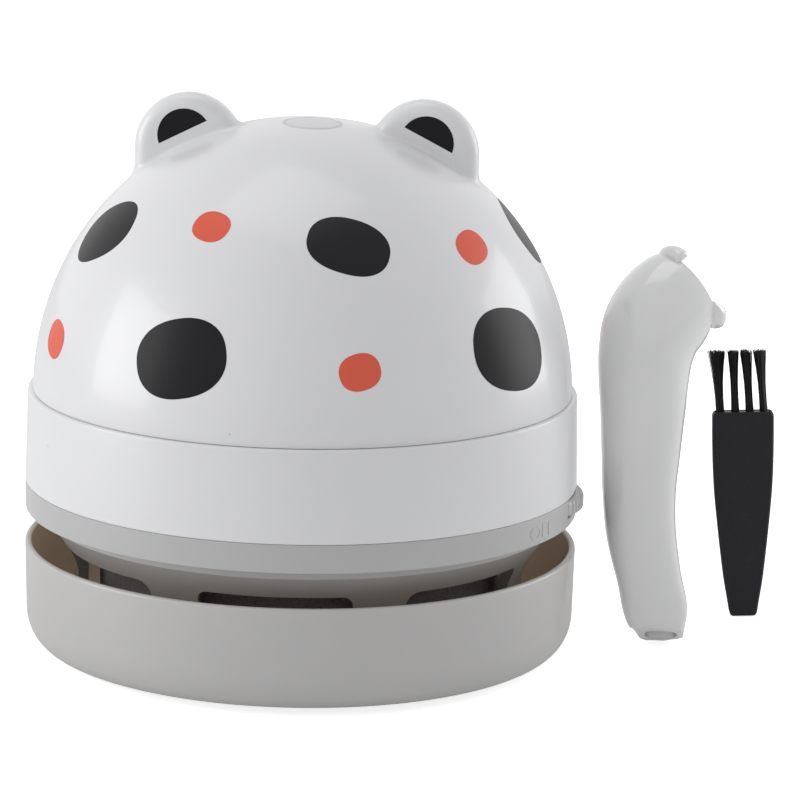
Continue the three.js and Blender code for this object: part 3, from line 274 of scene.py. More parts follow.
def make_dust():
    """Mask = 1 in small round spots, one in a cell of the given spacing, in the share Cover of all cells."""
    group, given, out = effect("dust", [("Place", "vector"), ("Spacing", "value"), ("Cover", "value")],
                               [("Mask", "value")])
    scale = per_millimetre(group, given["Spacing"])
    cells = new_node(group, "ShaderNodeTexVoronoi", {"Vector": given["Place"], "Scale": scale})
    parts = new_node(group, "ShaderNodeSeparateColor", {0: cells.outputs["Color"]})
    chosen = math_node(group, "LESS_THAN", parts.outputs[0], given["Cover"])
    size = math_node(group, "MULTIPLY_ADD", parts.outputs[1], speck_spread, smallest_speck)
    inside = math_node(group, "LESS_THAN", cells.outputs["Distance"], size)
    fill(group, out, {"Mask": math_node(group, "MULTIPLY", chosen, inside)})
    return group


def make_weave():
    """Height = the higher of two crossed rows of rounded threads, on a flat pattern in metres."""
    group, given, out = effect("weave", [("Pattern", "vector"), ("Thread", "value")],
                               [("Height", "value"), ("Fluff", "value")])
    parts = new_node(group, "ShaderNodeSeparateXYZ", {0: given["Pattern"]})
    scale = math_node(group, "MULTIPLY", per_millimetre(group, given["Thread"]), np.pi)
    angles = [math_node(group, "MULTIPLY", parts.outputs[way], scale) for way in (0, 1)]
    threads = [math_node(group, "ABSOLUTE", math_node(group, "SINE", angle)) for angle in angles]
    fill(group, out, {"Height": math_node(group, "MAXIMUM", *threads),
                      "Fluff": noise(group, given["Pattern"], fluff_scale, 4)})
    return group


fine_grain, soft_cloud, dust, weave = make_fine_grain(), make_soft_cloud(), make_dust(), make_weave()
print("effects:", [group.name for group in (fine_grain, soft_cloud, dust, weave)])

# %% [markdown]
# Nearly all of the object is injection-moulded plastic. One recipe serves it: a base colour with a
# faint cloud, a fine grain as bump, a few dust specks, and a clear coat where the tool was polished.

# %% Moulded plastic
dust_spacing, coat_roughness = 5.0, 0.06
pale_dust, grey_dust, dark_dust = (0.66, 0.65, 0.64), (0.42, 0.41, 0.4), (0.12, 0.12, 0.12)


def place_effect(tree, group, inputs):
    """Puts a node group in a material and gives its outputs."""
    return new_node(tree, "ShaderNodeGroup", inputs, node_tree=group).outputs


def empty_material(name):
    """A material with only its shader and output, and the object's own coordinates."""
    material = bpy.data.materials.new(name)
    material.use_nodes = True
    tree = material.node_tree
    place = new_node(tree, "ShaderNodeTexCoord").outputs["Object"]
    return material, tree, tree.nodes["Principled BSDF"], place


def clouded(tree, place, colour, size, amount, roughness):
    """The shader's base colour and roughness, both with the soft cloud in them."""
    cloudy = place_effect(tree, soft_cloud, {"Place": place, "Colour": (*colour, 1), "Cloud size": size,
                                             "Amount": amount, "Roughness": roughness})
    return {"Base Color": cloudy["Colour"], "Roughness": cloudy["Roughness"]}


def bumped(tree, height, depth):
    """The normal of a surface whose height swings by depth mm."""
    return new_node(tree, "ShaderNodeBump", {"Height": height, "Distance": depth * MM}).outputs["Normal"]


def grained(tree, place, size, depth):
    """The normal of a surface with the fine grain, of the given size and depth in mm."""
    grain = place_effect(tree, fine_grain, {"Place": place, "Grain size": size})
    return bumped(tree, grain["Height"], depth)


def moulded(name, colour, roughness, grain_size, grain_depth, cloud, cloud_size=18.0, dust_cover=0.0,
            dust_colour=grey_dust, coat=0.0, specular=0.5):
    """Plastic: cloudy colour and roughness, dust spots mixed in, and grain as a bump. Sizes are in mm."""
    material, tree, shader, place = empty_material(name)
    surface = clouded(tree, place, colour, cloud_size, cloud, roughness)
    if dust_cover > 0:
        spots = place_effect(tree, dust, {"Place": place, "Spacing": dust_spacing, "Cover": dust_cover})
        surface["Base Color"] = mixed(tree, spots["Mask"], surface["Base Color"], (*dust_colour, 1))
    fill(tree, shader, {**surface, "Normal": grained(tree, place, grain_size, grain_depth),
                        "Coat Weight": coat, "Coat Roughness": coat_roughness,
                        "Specular IOR Level": specular})
    return material


white_shell = moulded("white shell", (0.79, 0.79, 0.802), 0.3, 0.6, 0.004, 0.03, dust_cover=0.05,
                      dust_colour=pale_dust, coat=0.25)
grey_shell = moulded("grey shell", (0.46, 0.46, 0.458), 0.5, 0.5, 0.008, 0.05, dust_cover=0.06, coat=0.4,
                     specular=1.0)
# The basket's grey is the grey shell made darker and warmer: painted shade for the gap under the band.
basket_grey_painted_shade = moulded("basket grey painted shade", (0.4, 0.393, 0.383), 0.5, 0.5, 0.008, 0.05, dust_cover=0.06, coat=0.4,
                      specular=1.0)
# Nozzle grey: the nozzle's own pale grey, made lighter still as painted light, for the light that the body
# keeps off it.
nozzle_grey_and_painted_light = moulded("nozzle grey and painted light", (0.8, 0.8, 0.795), 0.3, 0.9, 0.003, 0.03, dust_cover=0.03,
                      dust_colour=pale_dust, coat=1.0, specular=0.6)
print_black = moulded("printed black", (0.007, 0.007, 0.009), 0.32, 0.5, 0.004, 0.1, specular=0.18)
print_coral = moulded("printed coral", (0.78, 0.12, 0.07), 0.32, 0.5, 0.004, 0.06, specular=0.3)
print_grey = moulded("printed grey", (0.5, 0.5, 0.52), 0.4, 0.5, 0.004, 0.05)
label_film = moulded("label film", (0.74, 0.74, 0.75), 0.42, 0.4, 0.006, 0.04)
brush_black = moulded("brush black", (0.0075, 0.0075, 0.010), 0.5, 0.22, 0.045, 0.25, 6.0, dust_cover=0.05,
                      dust_colour=dark_dust, specular=0.3)
inner_black = moulded("inner black", (0.022, 0.022, 0.025), 0.5, 0.4, 0.02, 0.15)
soft_rubber = moulded("soft rubber", (0.035, 0.035, 0.038), 0.72, 0.3, 0.03, 0.2, dust_cover=0.12)
bristle_black = moulded("bristle black", (0.012, 0.012, 0.014), 0.38, 0.3, 0.004, 0.3, 3.0)
battery_blue = moulded("battery sleeve", (0.02, 0.1, 0.42), 0.3, 0.8, 0.01, 0.08, coat=0.3)
red_insulation = moulded("red insulation", (0.5, 0.02, 0.02), 0.4, 0.4, 0.01, 0.1)
black_insulation = moulded("black insulation", (0.02, 0.02, 0.022), 0.4, 0.4, 0.01, 0.1)
print(len(bpy.data.materials), "materials so far")

# %% [markdown]
# The metals are hidden inside, but they show when the upper unit lifts and at the charging socket.
# Drawn steel has fine lines along one direction, so its grain is noise stretched along the axis. Felt,
# lacquered board and a frosted lens each get a short recipe from the same effects.

# %% Metal, board, filter and lens
def drawn_metal(name, colour, roughness, stretch=(1, 1, 0.08), line_size=0.15):
    """Metal with noise stretched along one axis, in both bump and roughness."""
    material, tree, shader, place = empty_material(name)
    mapped = new_node(tree, "ShaderNodeMapping", {"Vector": place, "Scale": stretch}).outputs[0]
    surface = clouded(tree, mapped, colour, 1.2, 0.25, roughness)
    fill(tree, shader, {**surface, "Normal": grained(tree, mapped, line_size, 0.01), "Metallic": 1})
    return material


def filter_felt(name):
    """Dark needled cloth: weave and fluff as bump, worn fibres a little lighter, no gloss."""
    material, tree, shader, _ = empty_material(name)
    pattern = new_node(tree, "ShaderNodeUVMap", uv_map="around").outputs[0]
    cloth = place_effect(tree, weave, {"Pattern": pattern, "Thread": 0.55})
    fibres = mixed(tree, cloth["Fluff"], (0.075, 0.074, 0.083, 1), (0.27, 0.265, 0.28, 1))
    height = math_node(tree, "MULTIPLY_ADD", cloth["Height"], 0.6, cloth["Fluff"])
    fill(tree, shader, {"Base Color": fibres, "Normal": bumped(tree, height, 0.12), "Roughness": 0.95,
                        "Sheen Weight": 0.25})
    return material


def lacquered_board(name):
    """Green lacquer over copper tracks: a brick pattern of fine lines, paler where a track runs."""
    material, tree, shader, place = empty_material(name)
    tracks = new_node(tree, "ShaderNodeTexBrick", {"Vector": place, "Color1": (0.015, 0.16, 0.055, 1),
                                                   "Color2": (0.02, 0.19, 0.07, 1),
                                                   "Mortar": (0.05, 0.32, 0.12, 1), "Scale": 60.0,
                                                   "Mortar Size": 0.02}).outputs
    fill(tree, shader, {"Base Color": tracks["Color"], "Normal": bumped(tree, tracks["Fac"], 0.03),
                        "Roughness": 0.3, "Coat Weight": 0.4})
    return material


def frosted_lens(name):
    """Clear plastic that scatters a little, with a fine grain."""
    material, tree, shader, place = empty_material(name)
    surface = clouded(tree, place, (0.86, 0.9, 0.88), 1.0, 0.05, 0.22)
    fill(tree, shader, {**surface, "Normal": grained(tree, place, 0.3, 0.02), "Transmission Weight": 0.6})
    return material


bright_steel = drawn_metal("bright steel", (0.6, 0.61, 0.63), 0.28)
turned_brass = drawn_metal("turned brass", (0.68, 0.5, 0.2), 0.32)
dark_magnet = drawn_metal("dark magnet", (0.1, 0.1, 0.11), 0.6, (1, 1, 1), 0.4)
dark_felt = filter_felt("filter felt")
green_board = lacquered_board("green board")
lens_clear = frosted_lens("lamp lens")
print(len(bpy.data.materials), "materials now")

# %% [markdown]
# The pieces inside, such as motor, fan and battery, keep the engineering model's own meshes, since they
# are seen only when the upper unit lifts. Each just gets the finish of its material slot.

# %% Dress the model's own nodes
finish_of_slot = {
    "white_plastic": white_shell, "grey_plastic": grey_shell, "filter_cloth": inner_black,
    "rubber": soft_rubber, "black_plastic": inner_black, "bristle": bristle_black, "steel": bright_steel,
    "brass": turned_brass, "magnet": dark_magnet, "board": green_board, "battery_sleeve": battery_blue,
    "lamp_lens": lens_clear, "wire_red": red_insulation, "wire_black": black_insulation,
}
slot_of_node = {part["node"]: part["material_slot"] for part in frame["record"]["subparts"]}
for node_name, node_object in frame["nodes"].items():
    for material_slot in node_object.material_slots:
        material_slot.material = finish_of_slot[slot_of_node[node_name]]
print(len(slot_of_node), "nodes dressed")

# %% [markdown]
# Every new shape below is a grid of points worked out with numpy: rows along one direction, columns
# along the other. Neighbouring points make four-sided faces, and rows or columns that meet again are
# closed by wrapping. Where a row shrinks to one point, its points are merged into a pole.

# %% Grids into meshes
merge_distance, no_length = 2e-7, 1e-8
loop = (True, True)


def grid_faces(rows, columns, wrap_rows, wrap_columns, start):
    """Face k joins point (i, j) with (i, j + 1), (i + 1, j + 1) and (i + 1, j)."""
    index = start + np.arange(rows * columns).reshape(rows, columns)
    below, beside = np.roll(index, -1, axis=0), np.roll(index, -1, axis=1)
    faces = np.stack([index, beside, np.roll(below, -1, axis=1), below], axis=-1)
    last_row, last_column = rows if wrap_rows else rows - 1, columns if wrap_columns else columns - 1
    return faces[:last_row, :last_column].reshape(-1, 4)


def clean(mesh):
    """Merges points that coincide, drops faces of no size and turns the rest outwards. Lengths in m."""
    work = bmesh.new()
    work.from_mesh(mesh)
    bmesh.ops.remove_doubles(work, verts=work.verts, dist=merge_distance)
    bmesh.ops.dissolve_degenerate(work, edges=work.edges, dist=no_length)
    bmesh.ops.recalc_face_normals(work, faces=work.faces)
    work.to_mesh(mesh)
    work.free()


def smooth_faces(mesh, sharp_angle):
    """Smooth shading, but edges that turn more than sharp_angle degrees stay crisp."""
    mesh.shade_smooth()
    mesh.set_sharp_from_angle(angle=np.radians(sharp_angle))


def solid(name, *grids, wrap=(False, True), sharp_angle=32):
    """One mesh from closed grids of points, in mm from the axis. The wrap says whether the last row
    meets the first, and whether the last column does."""
    points, faces, start = [], [], 0
    for grid in grids:
        rows, columns = grid.shape[:2]
        points.append(grid.reshape(-1, 3))
        faces.append(grid_faces(rows, columns, *wrap, start))
        start += rows * columns
    places = np.concatenate(points) + [axis_x, 0, 0]
    mesh = bpy.data.meshes.new(name)
    mesh.from_pydata((places * MM).tolist(), [], np.concatenate(faces).tolist())
    clean(mesh)
    smooth_faces(mesh, sharp_angle)
    return put_in_scene(name, mesh)


def combine(piece, operation, *tools, sharp_angle=32):
    """Cuts tools from a piece, or joins them to it, and keeps the result as plain faces."""
    for tool in tools:
        step = piece.modifiers.new(operation, "BOOLEAN")
        step.operation, step.solver, step.object = operation, "EXACT", tool
    depsgraph = bpy.context.evaluated_depsgraph_get()
    result = bpy.data.meshes.new_from_object(piece.evaluated_get(depsgraph))
    piece.modifiers.clear()
    spent = [piece.data] + [tool.data for tool in tools]
    piece.data = result
    for tool in tools:
        bpy.data.objects.remove(tool)
    for mesh in spent:
        bpy.data.meshes.remove(mesh)
    result.materials.clear()
    smooth_faces(result, sharp_angle)


def settle(piece, body, material, slot, *nodes):
    """Gives a piece its finish, and lets it ride on its body in place of the named nodes. The slot is not
    used.
    """
    piece.data.materials.append(material)
    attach(piece, body)
    if nodes:
        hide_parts(*nodes)
    print(f"{piece.name}: {len(piece.data.vertices)} points, {len(piece.data.polygons)} faces")

# %% [markdown]
# A few shapes come back in many pieces: a profile turned about the axis, a rounded corner, a rounded
# rectangle, and an outline carried straight through a wall to cut it. Each is a short function, so the
# pieces below are lists of sizes.

# %% Shapes used again and again
def full_turn(count):
    """Even angles once round, in radians."""
    return np.linspace(0, 2 * np.pi, count, endpoint=False)


def turned(profile, segments):
    """A profile of (radius, height) carried round the axis: x = r sin a, y = -r cos a, z = height."""
    radius, height = np.array(profile, float).T[:, :, None]
    angle = full_turn(segments)
    return np.stack([radius * np.sin(angle), -radius * np.cos(angle), height + 0 * angle], axis=-1)


def bend(start, corner, end, steps):
    """A quarter ellipse from start to end that bulges towards the corner, as a list of points."""
    turn_angle = np.linspace(0, np.pi / 2, steps + 1)[:, None]
    start, corner, end = np.array(start, float), np.array(corner, float), np.array(end, float)
    curve = corner + (start - corner) * (1 - np.sin(turn_angle)) + (end - corner) * (1 - np.cos(turn_angle))
    return curve.tolist()


def turn_to(points, azimuth):
    """Points built at the front, turned about the axis towards the right by azimuth in degrees."""
    c, s = np.cos(np.radians(azimuth)), np.sin(np.radians(azimuth))
    x, y = points[..., 0], points[..., 1]
    return np.stack([x * c - y * s, x * s + y * c, points[..., 2]], axis=-1)


def copies(grid, azimuths):
    """The same grid turned to each azimuth."""
    return [turn_to(grid, azimuth) for azimuth in azimuths]


def rounded_outline(half_width, half_height, radius, corner_points=10):
    """A rectangle with quarter-circle corners, counted round once, as (across, up)."""
    quarter = np.linspace(0, np.pi / 2, corner_points)
    parts = []
    for start, sx, sy in ((0, 1, 1), (1, -1, 1), (2, -1, -1), (3, 1, -1)):
        angle = quarter + start * np.pi / 2
        parts.append(np.stack([sx * (half_width - radius) + radius * np.cos(angle),
                               sy * (half_height - radius) + radius * np.sin(angle)], axis=-1))
    return np.concatenate(parts)


def level_rows(*rows):
    """Outlines (x, y) one above another, from pairs of outline and height."""
    return np.stack([np.stack([*flat.T, np.full(len(flat), height)], axis=-1) for flat, height in rows])


def upright_rows(*rows, up_at=0.0):
    """Outlines (across, up) one before another, from pairs of outline and distance towards the front."""
    return np.stack([np.stack([flat[:, 0], np.full(len(flat), -depth), flat[:, 1] + up_at], axis=-1)
                     for flat, depth in rows])


def prism(outline, low, high):
    """A level outline carried straight up from low to high, closed at both ends."""
    return level_rows((0 * outline, low), (outline, low), (outline, high), (0 * outline, high))


def drawn_out(outline, near, far, up_at, edge=0.0):
    """An outline (across, up) carried towards the front from near to far, closed at both ends.
    With an edge, the outline shrinks by it over the same depth at each end."""
    middle = outline.mean(axis=0)
    centre = middle + 0 * outline
    reach = np.abs(outline - middle).max()
    shrunk = middle + (outline - middle) * (1 - edge / reach)
    return upright_rows((centre, near), (shrunk, near), (outline, near + edge), (outline, far - edge),
                        (shrunk, far), (centre, far), up_at=up_at)


def rod(radius, low, high, out, segments=48):
    """An upright cylinder in front of the axis by out mm, with its ends closed to a point."""
    return turned([(0, low), (radius, low), (radius, high), (0, high)], segments) + [0, -out, 0]


print("a corner of radius 1 in 4 steps:", np.round(bend((1, 0), (1, 1), (0, 1), 4), 2).tolist())

# %% [markdown]
# The bowl's wall lets a little light through, which comes out inside in a warmer tone. Light scattered
# inside the wall would be true to it but slow to render, so two things are added to the moulded finish:
# a share of a translucent shader, and a painted warm tint where the attribute "inside" is 1, which is
# painted bounce light and shade on the inner wall, not the plastic's own colour.

# %% The bowl's finish
def let_light_through_and_paint_bounce(material, share, through_colour, painted_warm_bounce):
    """Mixes in a translucent shader, and blends the colour to the given tint where the piece's own attribute
    says inside; that tint is painted warm bounce light and shade, not the plastic's own colour."""
    tree = material.node_tree
    shader = tree.nodes["Principled BSDF"]
    colour = shader.inputs["Base Color"].links[0].from_socket
    inside = new_node(tree, "ShaderNodeAttribute", attribute_name="inside").outputs["Fac"]
    fill(tree, shader, {"Base Color": mixed(tree, inside, colour, (*painted_warm_bounce, 1))})
    through = new_node(tree, "ShaderNodeBsdfTranslucent", {"Color": (*through_colour, 1)})
    both = new_node(tree, "ShaderNodeMixShader", {0: share, 1: shader.outputs[0], 2: through.outputs[0]})
    fill(tree, tree.nodes["Material Output"], {"Surface": both.outputs[0]})


bowl_grey = moulded("bowl grey", (0.57, 0.58, 0.585), 0.5, 0.5, 0.008, 0.05, dust_cover=0.06, coat=0.5,
                    specular=1.0)
# The last colour is painted warm bounce light and shade for the bowl's inner wall.
let_light_through_and_paint_bounce(bowl_grey, 0.19, (1.0, 0.85, 0.69), (0.7, 0.59, 0.49))
print("bowl finish:", len(bowl_grey.node_tree.nodes), "nodes")

# %% [markdown]
# The bowl is one thin moulded shell: it stands on four feet, rises to an open rim with a full round
# edge, and turns in at the bottom with a generous radius. It is a profile turned about the axis, the
# natural form for it, with the foot and strip pockets cut from below.

# %% Lower bowl
underside, bowl_wall, bowl_floor, rim_height, rim_round = 1.2, 1.2, 1.6, 20.1, 0.6
dish_radius, dish_height, port_radius = 27.0, 3.7, 11.8
foot_circle, foot_pocket, foot_azimuths = 37.5, 4.3, (45, 135, 225, 315)
strip_aside, slot_half_width, slot_half_length, slot_low, slot_high = 15.6, 1.5, 11.3, 2.6, 4.8


def bowl_profile():
    """Underside and outer wall up to the rim, over its round edge and back down the inside."""
    low, inner = body_radius - 0.25, body_radius - bowl_wall
    floor_top, dish_top = underside + bowl_floor, dish_height + bowl_floor
    return np.array([
        (port_radius, dish_height),
        *bend((dish_radius - 1, dish_height), (dish_radius, dish_height),
              (dish_radius + 0.8, dish_height - 0.7), 4),
        *bend((dish_radius + 2.4, underside + 0.5), (dish_radius + 3, underside),
              (dish_radius + 4, underside), 4),
        *bend((low - 4.9, underside), (low, underside), (low, underside + 6.4), 14),
        *bend((body_radius, rim_height - rim_round), (body_radius, rim_height),
              (body_radius - rim_round, rim_height), 6),
        *bend((inner + rim_round, rim_height), (inner, rim_height), (inner, rim_height - rim_round), 6)[1:],
        *bend((low - 1.2, floor_top + 5), (low - 1.2, floor_top), (low - 5.2, floor_top), 12),
        (dish_radius + 3.8, floor_top), (dish_radius + 0.8, dish_top), (port_radius, dish_top),
    ])


bowl = solid("bowl", turned(bowl_profile(), 288), wrap=loop)
pockets = copies(rod(foot_pocket, 0, underside + 1, foot_circle), foot_azimuths)
strip_slot = prism(rounded_outline(slot_half_width, slot_half_length, 0.4, 4), slot_low, slot_high)
pockets += [strip_slot + [side * strip_aside, 0, 0] for side in (-1, 1)]
combine(bowl, "DIFFERENCE", solid("bowl pockets", *pockets))

# %% The bowl's inner side
corner_start, corner_top, corner_width, corner_depth, level_radius = 44.85, 7.6, 4.3, 5.6, 31


def points_of(mesh):
    """All points of a mesh in its own unit, as one array."""
    flat = np.empty(len(mesh.vertices) * 3)
    mesh.vertices.foreach_get("co", flat)
    return flat.reshape(-1, 3)


def mark_inside(piece):
    """Attribute "inside" = 1 for points within the wall's middle surface: an upright wall, an ellipse
    round its lower corner, and a level floor that rises over the dish."""
    points = points_of(piece.data) / MM
    radius, height = np.hypot(points[:, 0] - axis_x, points[:, 1]), points[:, 2]
    upright = (height > corner_top) & (height < rim_height - 0.3) & (radius < body_radius - 0.5)
    past_flat = np.clip(radius - corner_start, 0, None)
    in_ellipse = (past_flat / corner_width) ** 2 + ((corner_top - height) / corner_depth) ** 2 < 1
    corner = (height <= corner_top) & (radius > level_radius) & in_ellipse
    floor_side = (radius <= level_radius) & (height > dish_height + 0.5)
    inside = (upright | corner | floor_side) * 1.0
    piece.data.attributes.new("inside", "FLOAT", "POINT").data.foreach_set("value", inside)
    print("points inside the bowl:", int(inside.sum()))


mark_inside(bowl)
settle(bowl, "lower_body", bowl_grey, "grey_plastic", "lower_bowl")

# %% [markdown]
# Under the bowl sit four rubber feet with soft edges, the inlet tube, and two strips of short bristles
# that sweep crumbs to it. Foot and tube are round, so each is a turned profile, and a foot is then moved
# out to its place. The tube's notches are for the nozzle's lugs.

# %% Feet and inlet tube
foot_radius, foot_height, foot_hollow = 4, 1.9, 0.12
foot_profile = [
    (0, foot_hollow), (2.6, foot_hollow), (2.9, 0), *bend((3.4, 0), (foot_radius, 0), (foot_radius, 0.6), 6),
    (foot_radius, foot_height - 0.15), (foot_radius - 0.15, foot_height), (0, foot_height),
]
for number, azimuth in enumerate(foot_azimuths, 1):
    foot_grid = turn_to(turned(foot_profile, 48) + [0, -foot_circle, 0], azimuth)
    settle(solid(f"rubber_foot_{number}", foot_grid), "lower_body", soft_rubber, "rubber", f"foot_{number}")

bore, catch_bore, tube_radius, flange_radius, collar_radius = 8.5, 10.4, 11.1, 16, 11.5
tube_low, tube_high, catch_low, catch_high, flange_low, flange_high = 2, 14.5, 4, 9.6, 5.6, 7
inlet_profile = [
    (bore, 2.3), (bore, catch_low), (catch_bore, catch_low), (catch_bore, catch_high), (bore, catch_high),
    (bore, 13.4), *bend((bore, 13.7), (bore, tube_high), (9.3, tube_high), 6),
    *bend((10.6, tube_high), (tube_radius, tube_high), (tube_radius, 14), 4),
    *bend((tube_radius, 8.2), (tube_radius, flange_high), (12.3, flange_high), 5),
    *bend((15.5, flange_high), (flange_radius, flange_high), (flange_radius, 6.5), 4),
    (flange_radius, flange_low), (collar_radius, flange_low),
    *bend((collar_radius, 2.5), (collar_radius, tube_low), (11, tube_low), 4), (8.8, tube_low),
]
inlet = solid("inlet", turned(inlet_profile, 192), wrap=loop)
notch = drawn_out(rounded_outline(2.8, 2.6, 0.5, 4), 7.5, catch_bore, up_at=2.6)
combine(inlet, "DIFFERENCE", solid("inlet notches", *copies(notch, (0, 120, 240))))
settle(inlet, "lower_body", grey_shell, "grey_plastic", "inlet_tube")

# %% [markdown]
# A sweeper strip is a bar with three rows of nylon hairs. A particle system would make hairs too, but a
# thin closed grid for each keeps them solid, exact in place and the same in every run.

# %% Sweeper strips
hairs_along, hairs_across, strip_reach = 46, (-0.55, 0, 0.55), 10.3
bar_low, bar_high, hair_root, hair_drop = 2.5, 4.5, 2.7, -2.25
hair_radius, hair_taper, hair_splay, hair_sharp_angle = 0.11, 0.3, 0.25, 70
side_jitter, end_jitter = 0.06, 0.05


def strands(roots, tips, bow, radius, taper, rows=5, sides=4):
    """Thin closed hairs from roots to tips: middle line = root + t (tip - root) + bow sin(pi t), with
    square sections that thin towards the tip. Each hair is a small grid; all are worked out at once."""
    share = np.linspace(0, 1, rows)[None, :, None]
    line = roots[:, None] + (tips - roots)[:, None] * share + bow[:, None] * np.sin(np.pi * share)
    along = unit(tips - roots)
    across = unit(np.cross(along, [0.0, 1.0, 0.0]))
    other = np.cross(along, across)
    angle = full_turn(sides)
    ring = across[:, None] * np.cos(angle)[None, :, None] + other[:, None] * np.sin(angle)[None, :, None]
    width = radius * (1 - taper * share)
    body = line[:, :, None] + ring[:, None] * width[:, :, None]
    ends = [np.repeat(line[:, [k], None], sides, axis=2) for k in (0, -1)]
    return np.concatenate([ends[0], body, ends[1]], axis=1)


dice = np.random.default_rng(7)
bar = rounded_outline(1.2, 11, 0.5, 5)
bar_grid = level_rows((0 * bar, bar_low), (0.9 * bar, bar_low), (bar, bar_low + 0.3), (bar, bar_high),
                      (0 * bar, bar_high))
root_x = np.tile(hairs_across, hairs_along)
root_y = np.repeat(np.linspace(-strip_reach, strip_reach, hairs_along), len(hairs_across))
hair_count = len(root_x)
for side, side_name in ((-1, "left"), (1, "right")):
    roots = np.stack([side * strip_aside + root_x, root_y, np.full(hair_count, hair_root)], axis=-1)
    tips = roots + np.stack([hair_splay * root_x + dice.normal(0, side_jitter, hair_count),
                             dice.normal(0, end_jitter, hair_count),
                             hair_drop + dice.normal(0, end_jitter, hair_count)], axis=-1)
    hairs = strands(roots, tips, 0 * roots, hair_radius, hair_taper, rows=2)
    strip = solid(f"sweeper_{side_name}", *hairs, bar_grid + [side * strip_aside, 0, 0],
                  sharp_angle=hair_sharp_angle)
    settle(strip, "lower_body", bristle_black, "black_plastic", f"sweeper_strip_{side_name}")

# %% [markdown]
# The dust basket stands in the bowl. Its wall flares out like a trumpet to a wide flange just under
# the upper unit, which is the surface seen in shade through the gap, and seven windows let the air
# out through the filter behind them. Its grey is the band's plastic made darker and warmer, as painted
# shade for that gap. Turning a profile gives wall and flare in one, and rounded blocks
# cut the windows, so their edges run square through the curved wall as a mould makes them.

# %% Dust basket
basket_radius, basket_bore, basket_low, basket_top = body_radius - 9, body_radius - 11, 3.1, 26.0
flare, flare_power, flare_foot, flare_rim = 5.2, 1.55, 15.3, 24.4
window_count, window_foot, window_top, window_half, window_corner = 7, 6.2, 20.3, 13.55, 1.7
window_cut = (34.4, 44.5)


def flare_curve(radius, low, reach, high, rows=24):
    """Radius = start + reach times s to the flare's power, where s grows from 0 to 1 from low to high."""
    share = np.linspace(0, 1, rows)
    return np.stack([radius + reach * share ** flare_power, low + (high - low) * share], axis=-1).tolist()


def basket_profile():
    """Outer wall, the flare, a short upright edge with round corners, and the flared bore back down."""
    rim = basket_radius + flare
    return [
        (basket_bore, basket_low), (basket_radius, basket_low),
        *flare_curve(basket_radius, flare_foot, flare, flare_rim),
        *bend((rim, basket_top - 0.3), (rim, basket_top), (rim - 0.3, basket_top), 4),
        *flare_curve(basket_bore, flare_foot + 1, flare + 0.7, basket_top)[::-1],
    ]


basket = solid("basket", turned(basket_profile(), 280), wrap=loop)
window_outline = rounded_outline(window_half, (window_top - window_foot) / 2, window_corner, 8)
window = drawn_out(window_outline, *window_cut, up_at=(window_top + window_foot) / 2)
window_azimuths = [number * 360 / window_count for number in range(window_count)]
combine(basket, "DIFFERENCE", solid("basket windows", *copies(window, window_azimuths)))
settle(basket, "lower_body", basket_grey_painted_shade, "grey_plastic", "dust_basket")

# %% [markdown]
# The filter is a thin sleeve of needled cloth inside the basket, drawn into 48 faint pleats. Its weave
# has to run round it without a stretch, so it gets a flat pattern of its own: a UV map in metres.

# %% Filter sleeve
sleeve_bore, sleeve_radius = 35.45, 36.4
pleat_count, pleat_depth, points_per_pleat = 48, 0.05, 8


def wrap_pattern(piece, radius):
    """A UV map in metres: around the axis as radius times angle, and along it as height."""
    mesh = piece.data
    points = points_of(mesh)
    corner_point = np.empty(len(mesh.loops), int)
    mesh.loops.foreach_get("vertex_index", corner_point)
    corner_face = np.repeat(np.arange(len(mesh.polygons)), [len(p.vertices) for p in mesh.polygons])
    angle = np.arctan2(points[:, 0] - axis_x * MM, -points[:, 1])[corner_point]
    first = angle[[p.loop_start for p in mesh.polygons]][corner_face]
    angle = first + (angle - first + np.pi) % (2 * np.pi) - np.pi
    pattern = np.stack([angle * radius * MM, points[corner_point, 2]], axis=-1)
    mesh.uv_layers.new(name="around").data.foreach_set("uv", pattern.ravel())


sleeve_rows = [(sleeve_bore, basket_low),
               *[(sleeve_radius, height) for height in (basket_low, 8, 14, 20, basket_top)],
               (sleeve_bore, basket_top), (sleeve_bore, 14)]
sleeve_grid = turned(sleeve_rows, pleat_count * points_per_pleat)
outward = unit(sleeve_grid * [1, 1, 0])
pleated = np.array([0, 1, 1, 1, 1, 1, 0, 0])[:, None]
wave = (np.cos(pleat_count * full_turn(pleat_count * points_per_pleat)) - 1) * pleat_depth / 2 * pleated
sleeve = solid("felt_sleeve", sleeve_grid + outward * wave[..., None], wrap=loop, sharp_angle=60)
wrap_pattern(sleeve, sleeve_radius)
settle(sleeve, "lower_body", dark_felt, "filter_cloth", "filter_sleeve")

# %% [markdown]
# The upper unit's grey band is the rim of a deck that carries the motor, moulded in one with it. The
# slide switch sits in a pocket of this band, open at the seam, so that the white band closes it from
# above and the knob can be fitted before the two are joined.

# %% Grey band and deck
band_low, seam, band_top, deck_top = 26.3, 31.45, 48.0, 28.3
switch_azimuth, knob_travel, knob_half, knob_back, switch_play = 87.8, 4.0, 7.5, body_radius - 1.05, 0.35
knob_low, knob_top, stem_half, stem_height = 28.3, 31.2, 1.6, 29.75
shaft_hole, lip_bore, lip_radius, lip_top, screw_circle = 4.2, 46.45, 47.65, 33.65, 42.6
throat_bore, throat_radius, throat_low = 37.1, 38.5, 19.9


def switch_cuts():
    """The knob's pocket with a flat back, open at the seam, and the slot behind it for the stem."""
    deep, spare = knob_back - switch_play, knob_travel / 2 + switch_play
    pocket = rounded_outline(knob_half + spare, 4, 0.3, 4)
    slot = rounded_outline(stem_half + spare, 1.25, 0.3, 4)
    grids = [drawn_out(pocket, deep, body_radius + 2, up_at=knob_low - switch_play + 4),
             drawn_out(slot, body_radius - 5, deep + 0.5, up_at=stem_height)]
    return [turn_to(grid + [knob_travel / 2, 0, 0], switch_azimuth) for grid in grids]


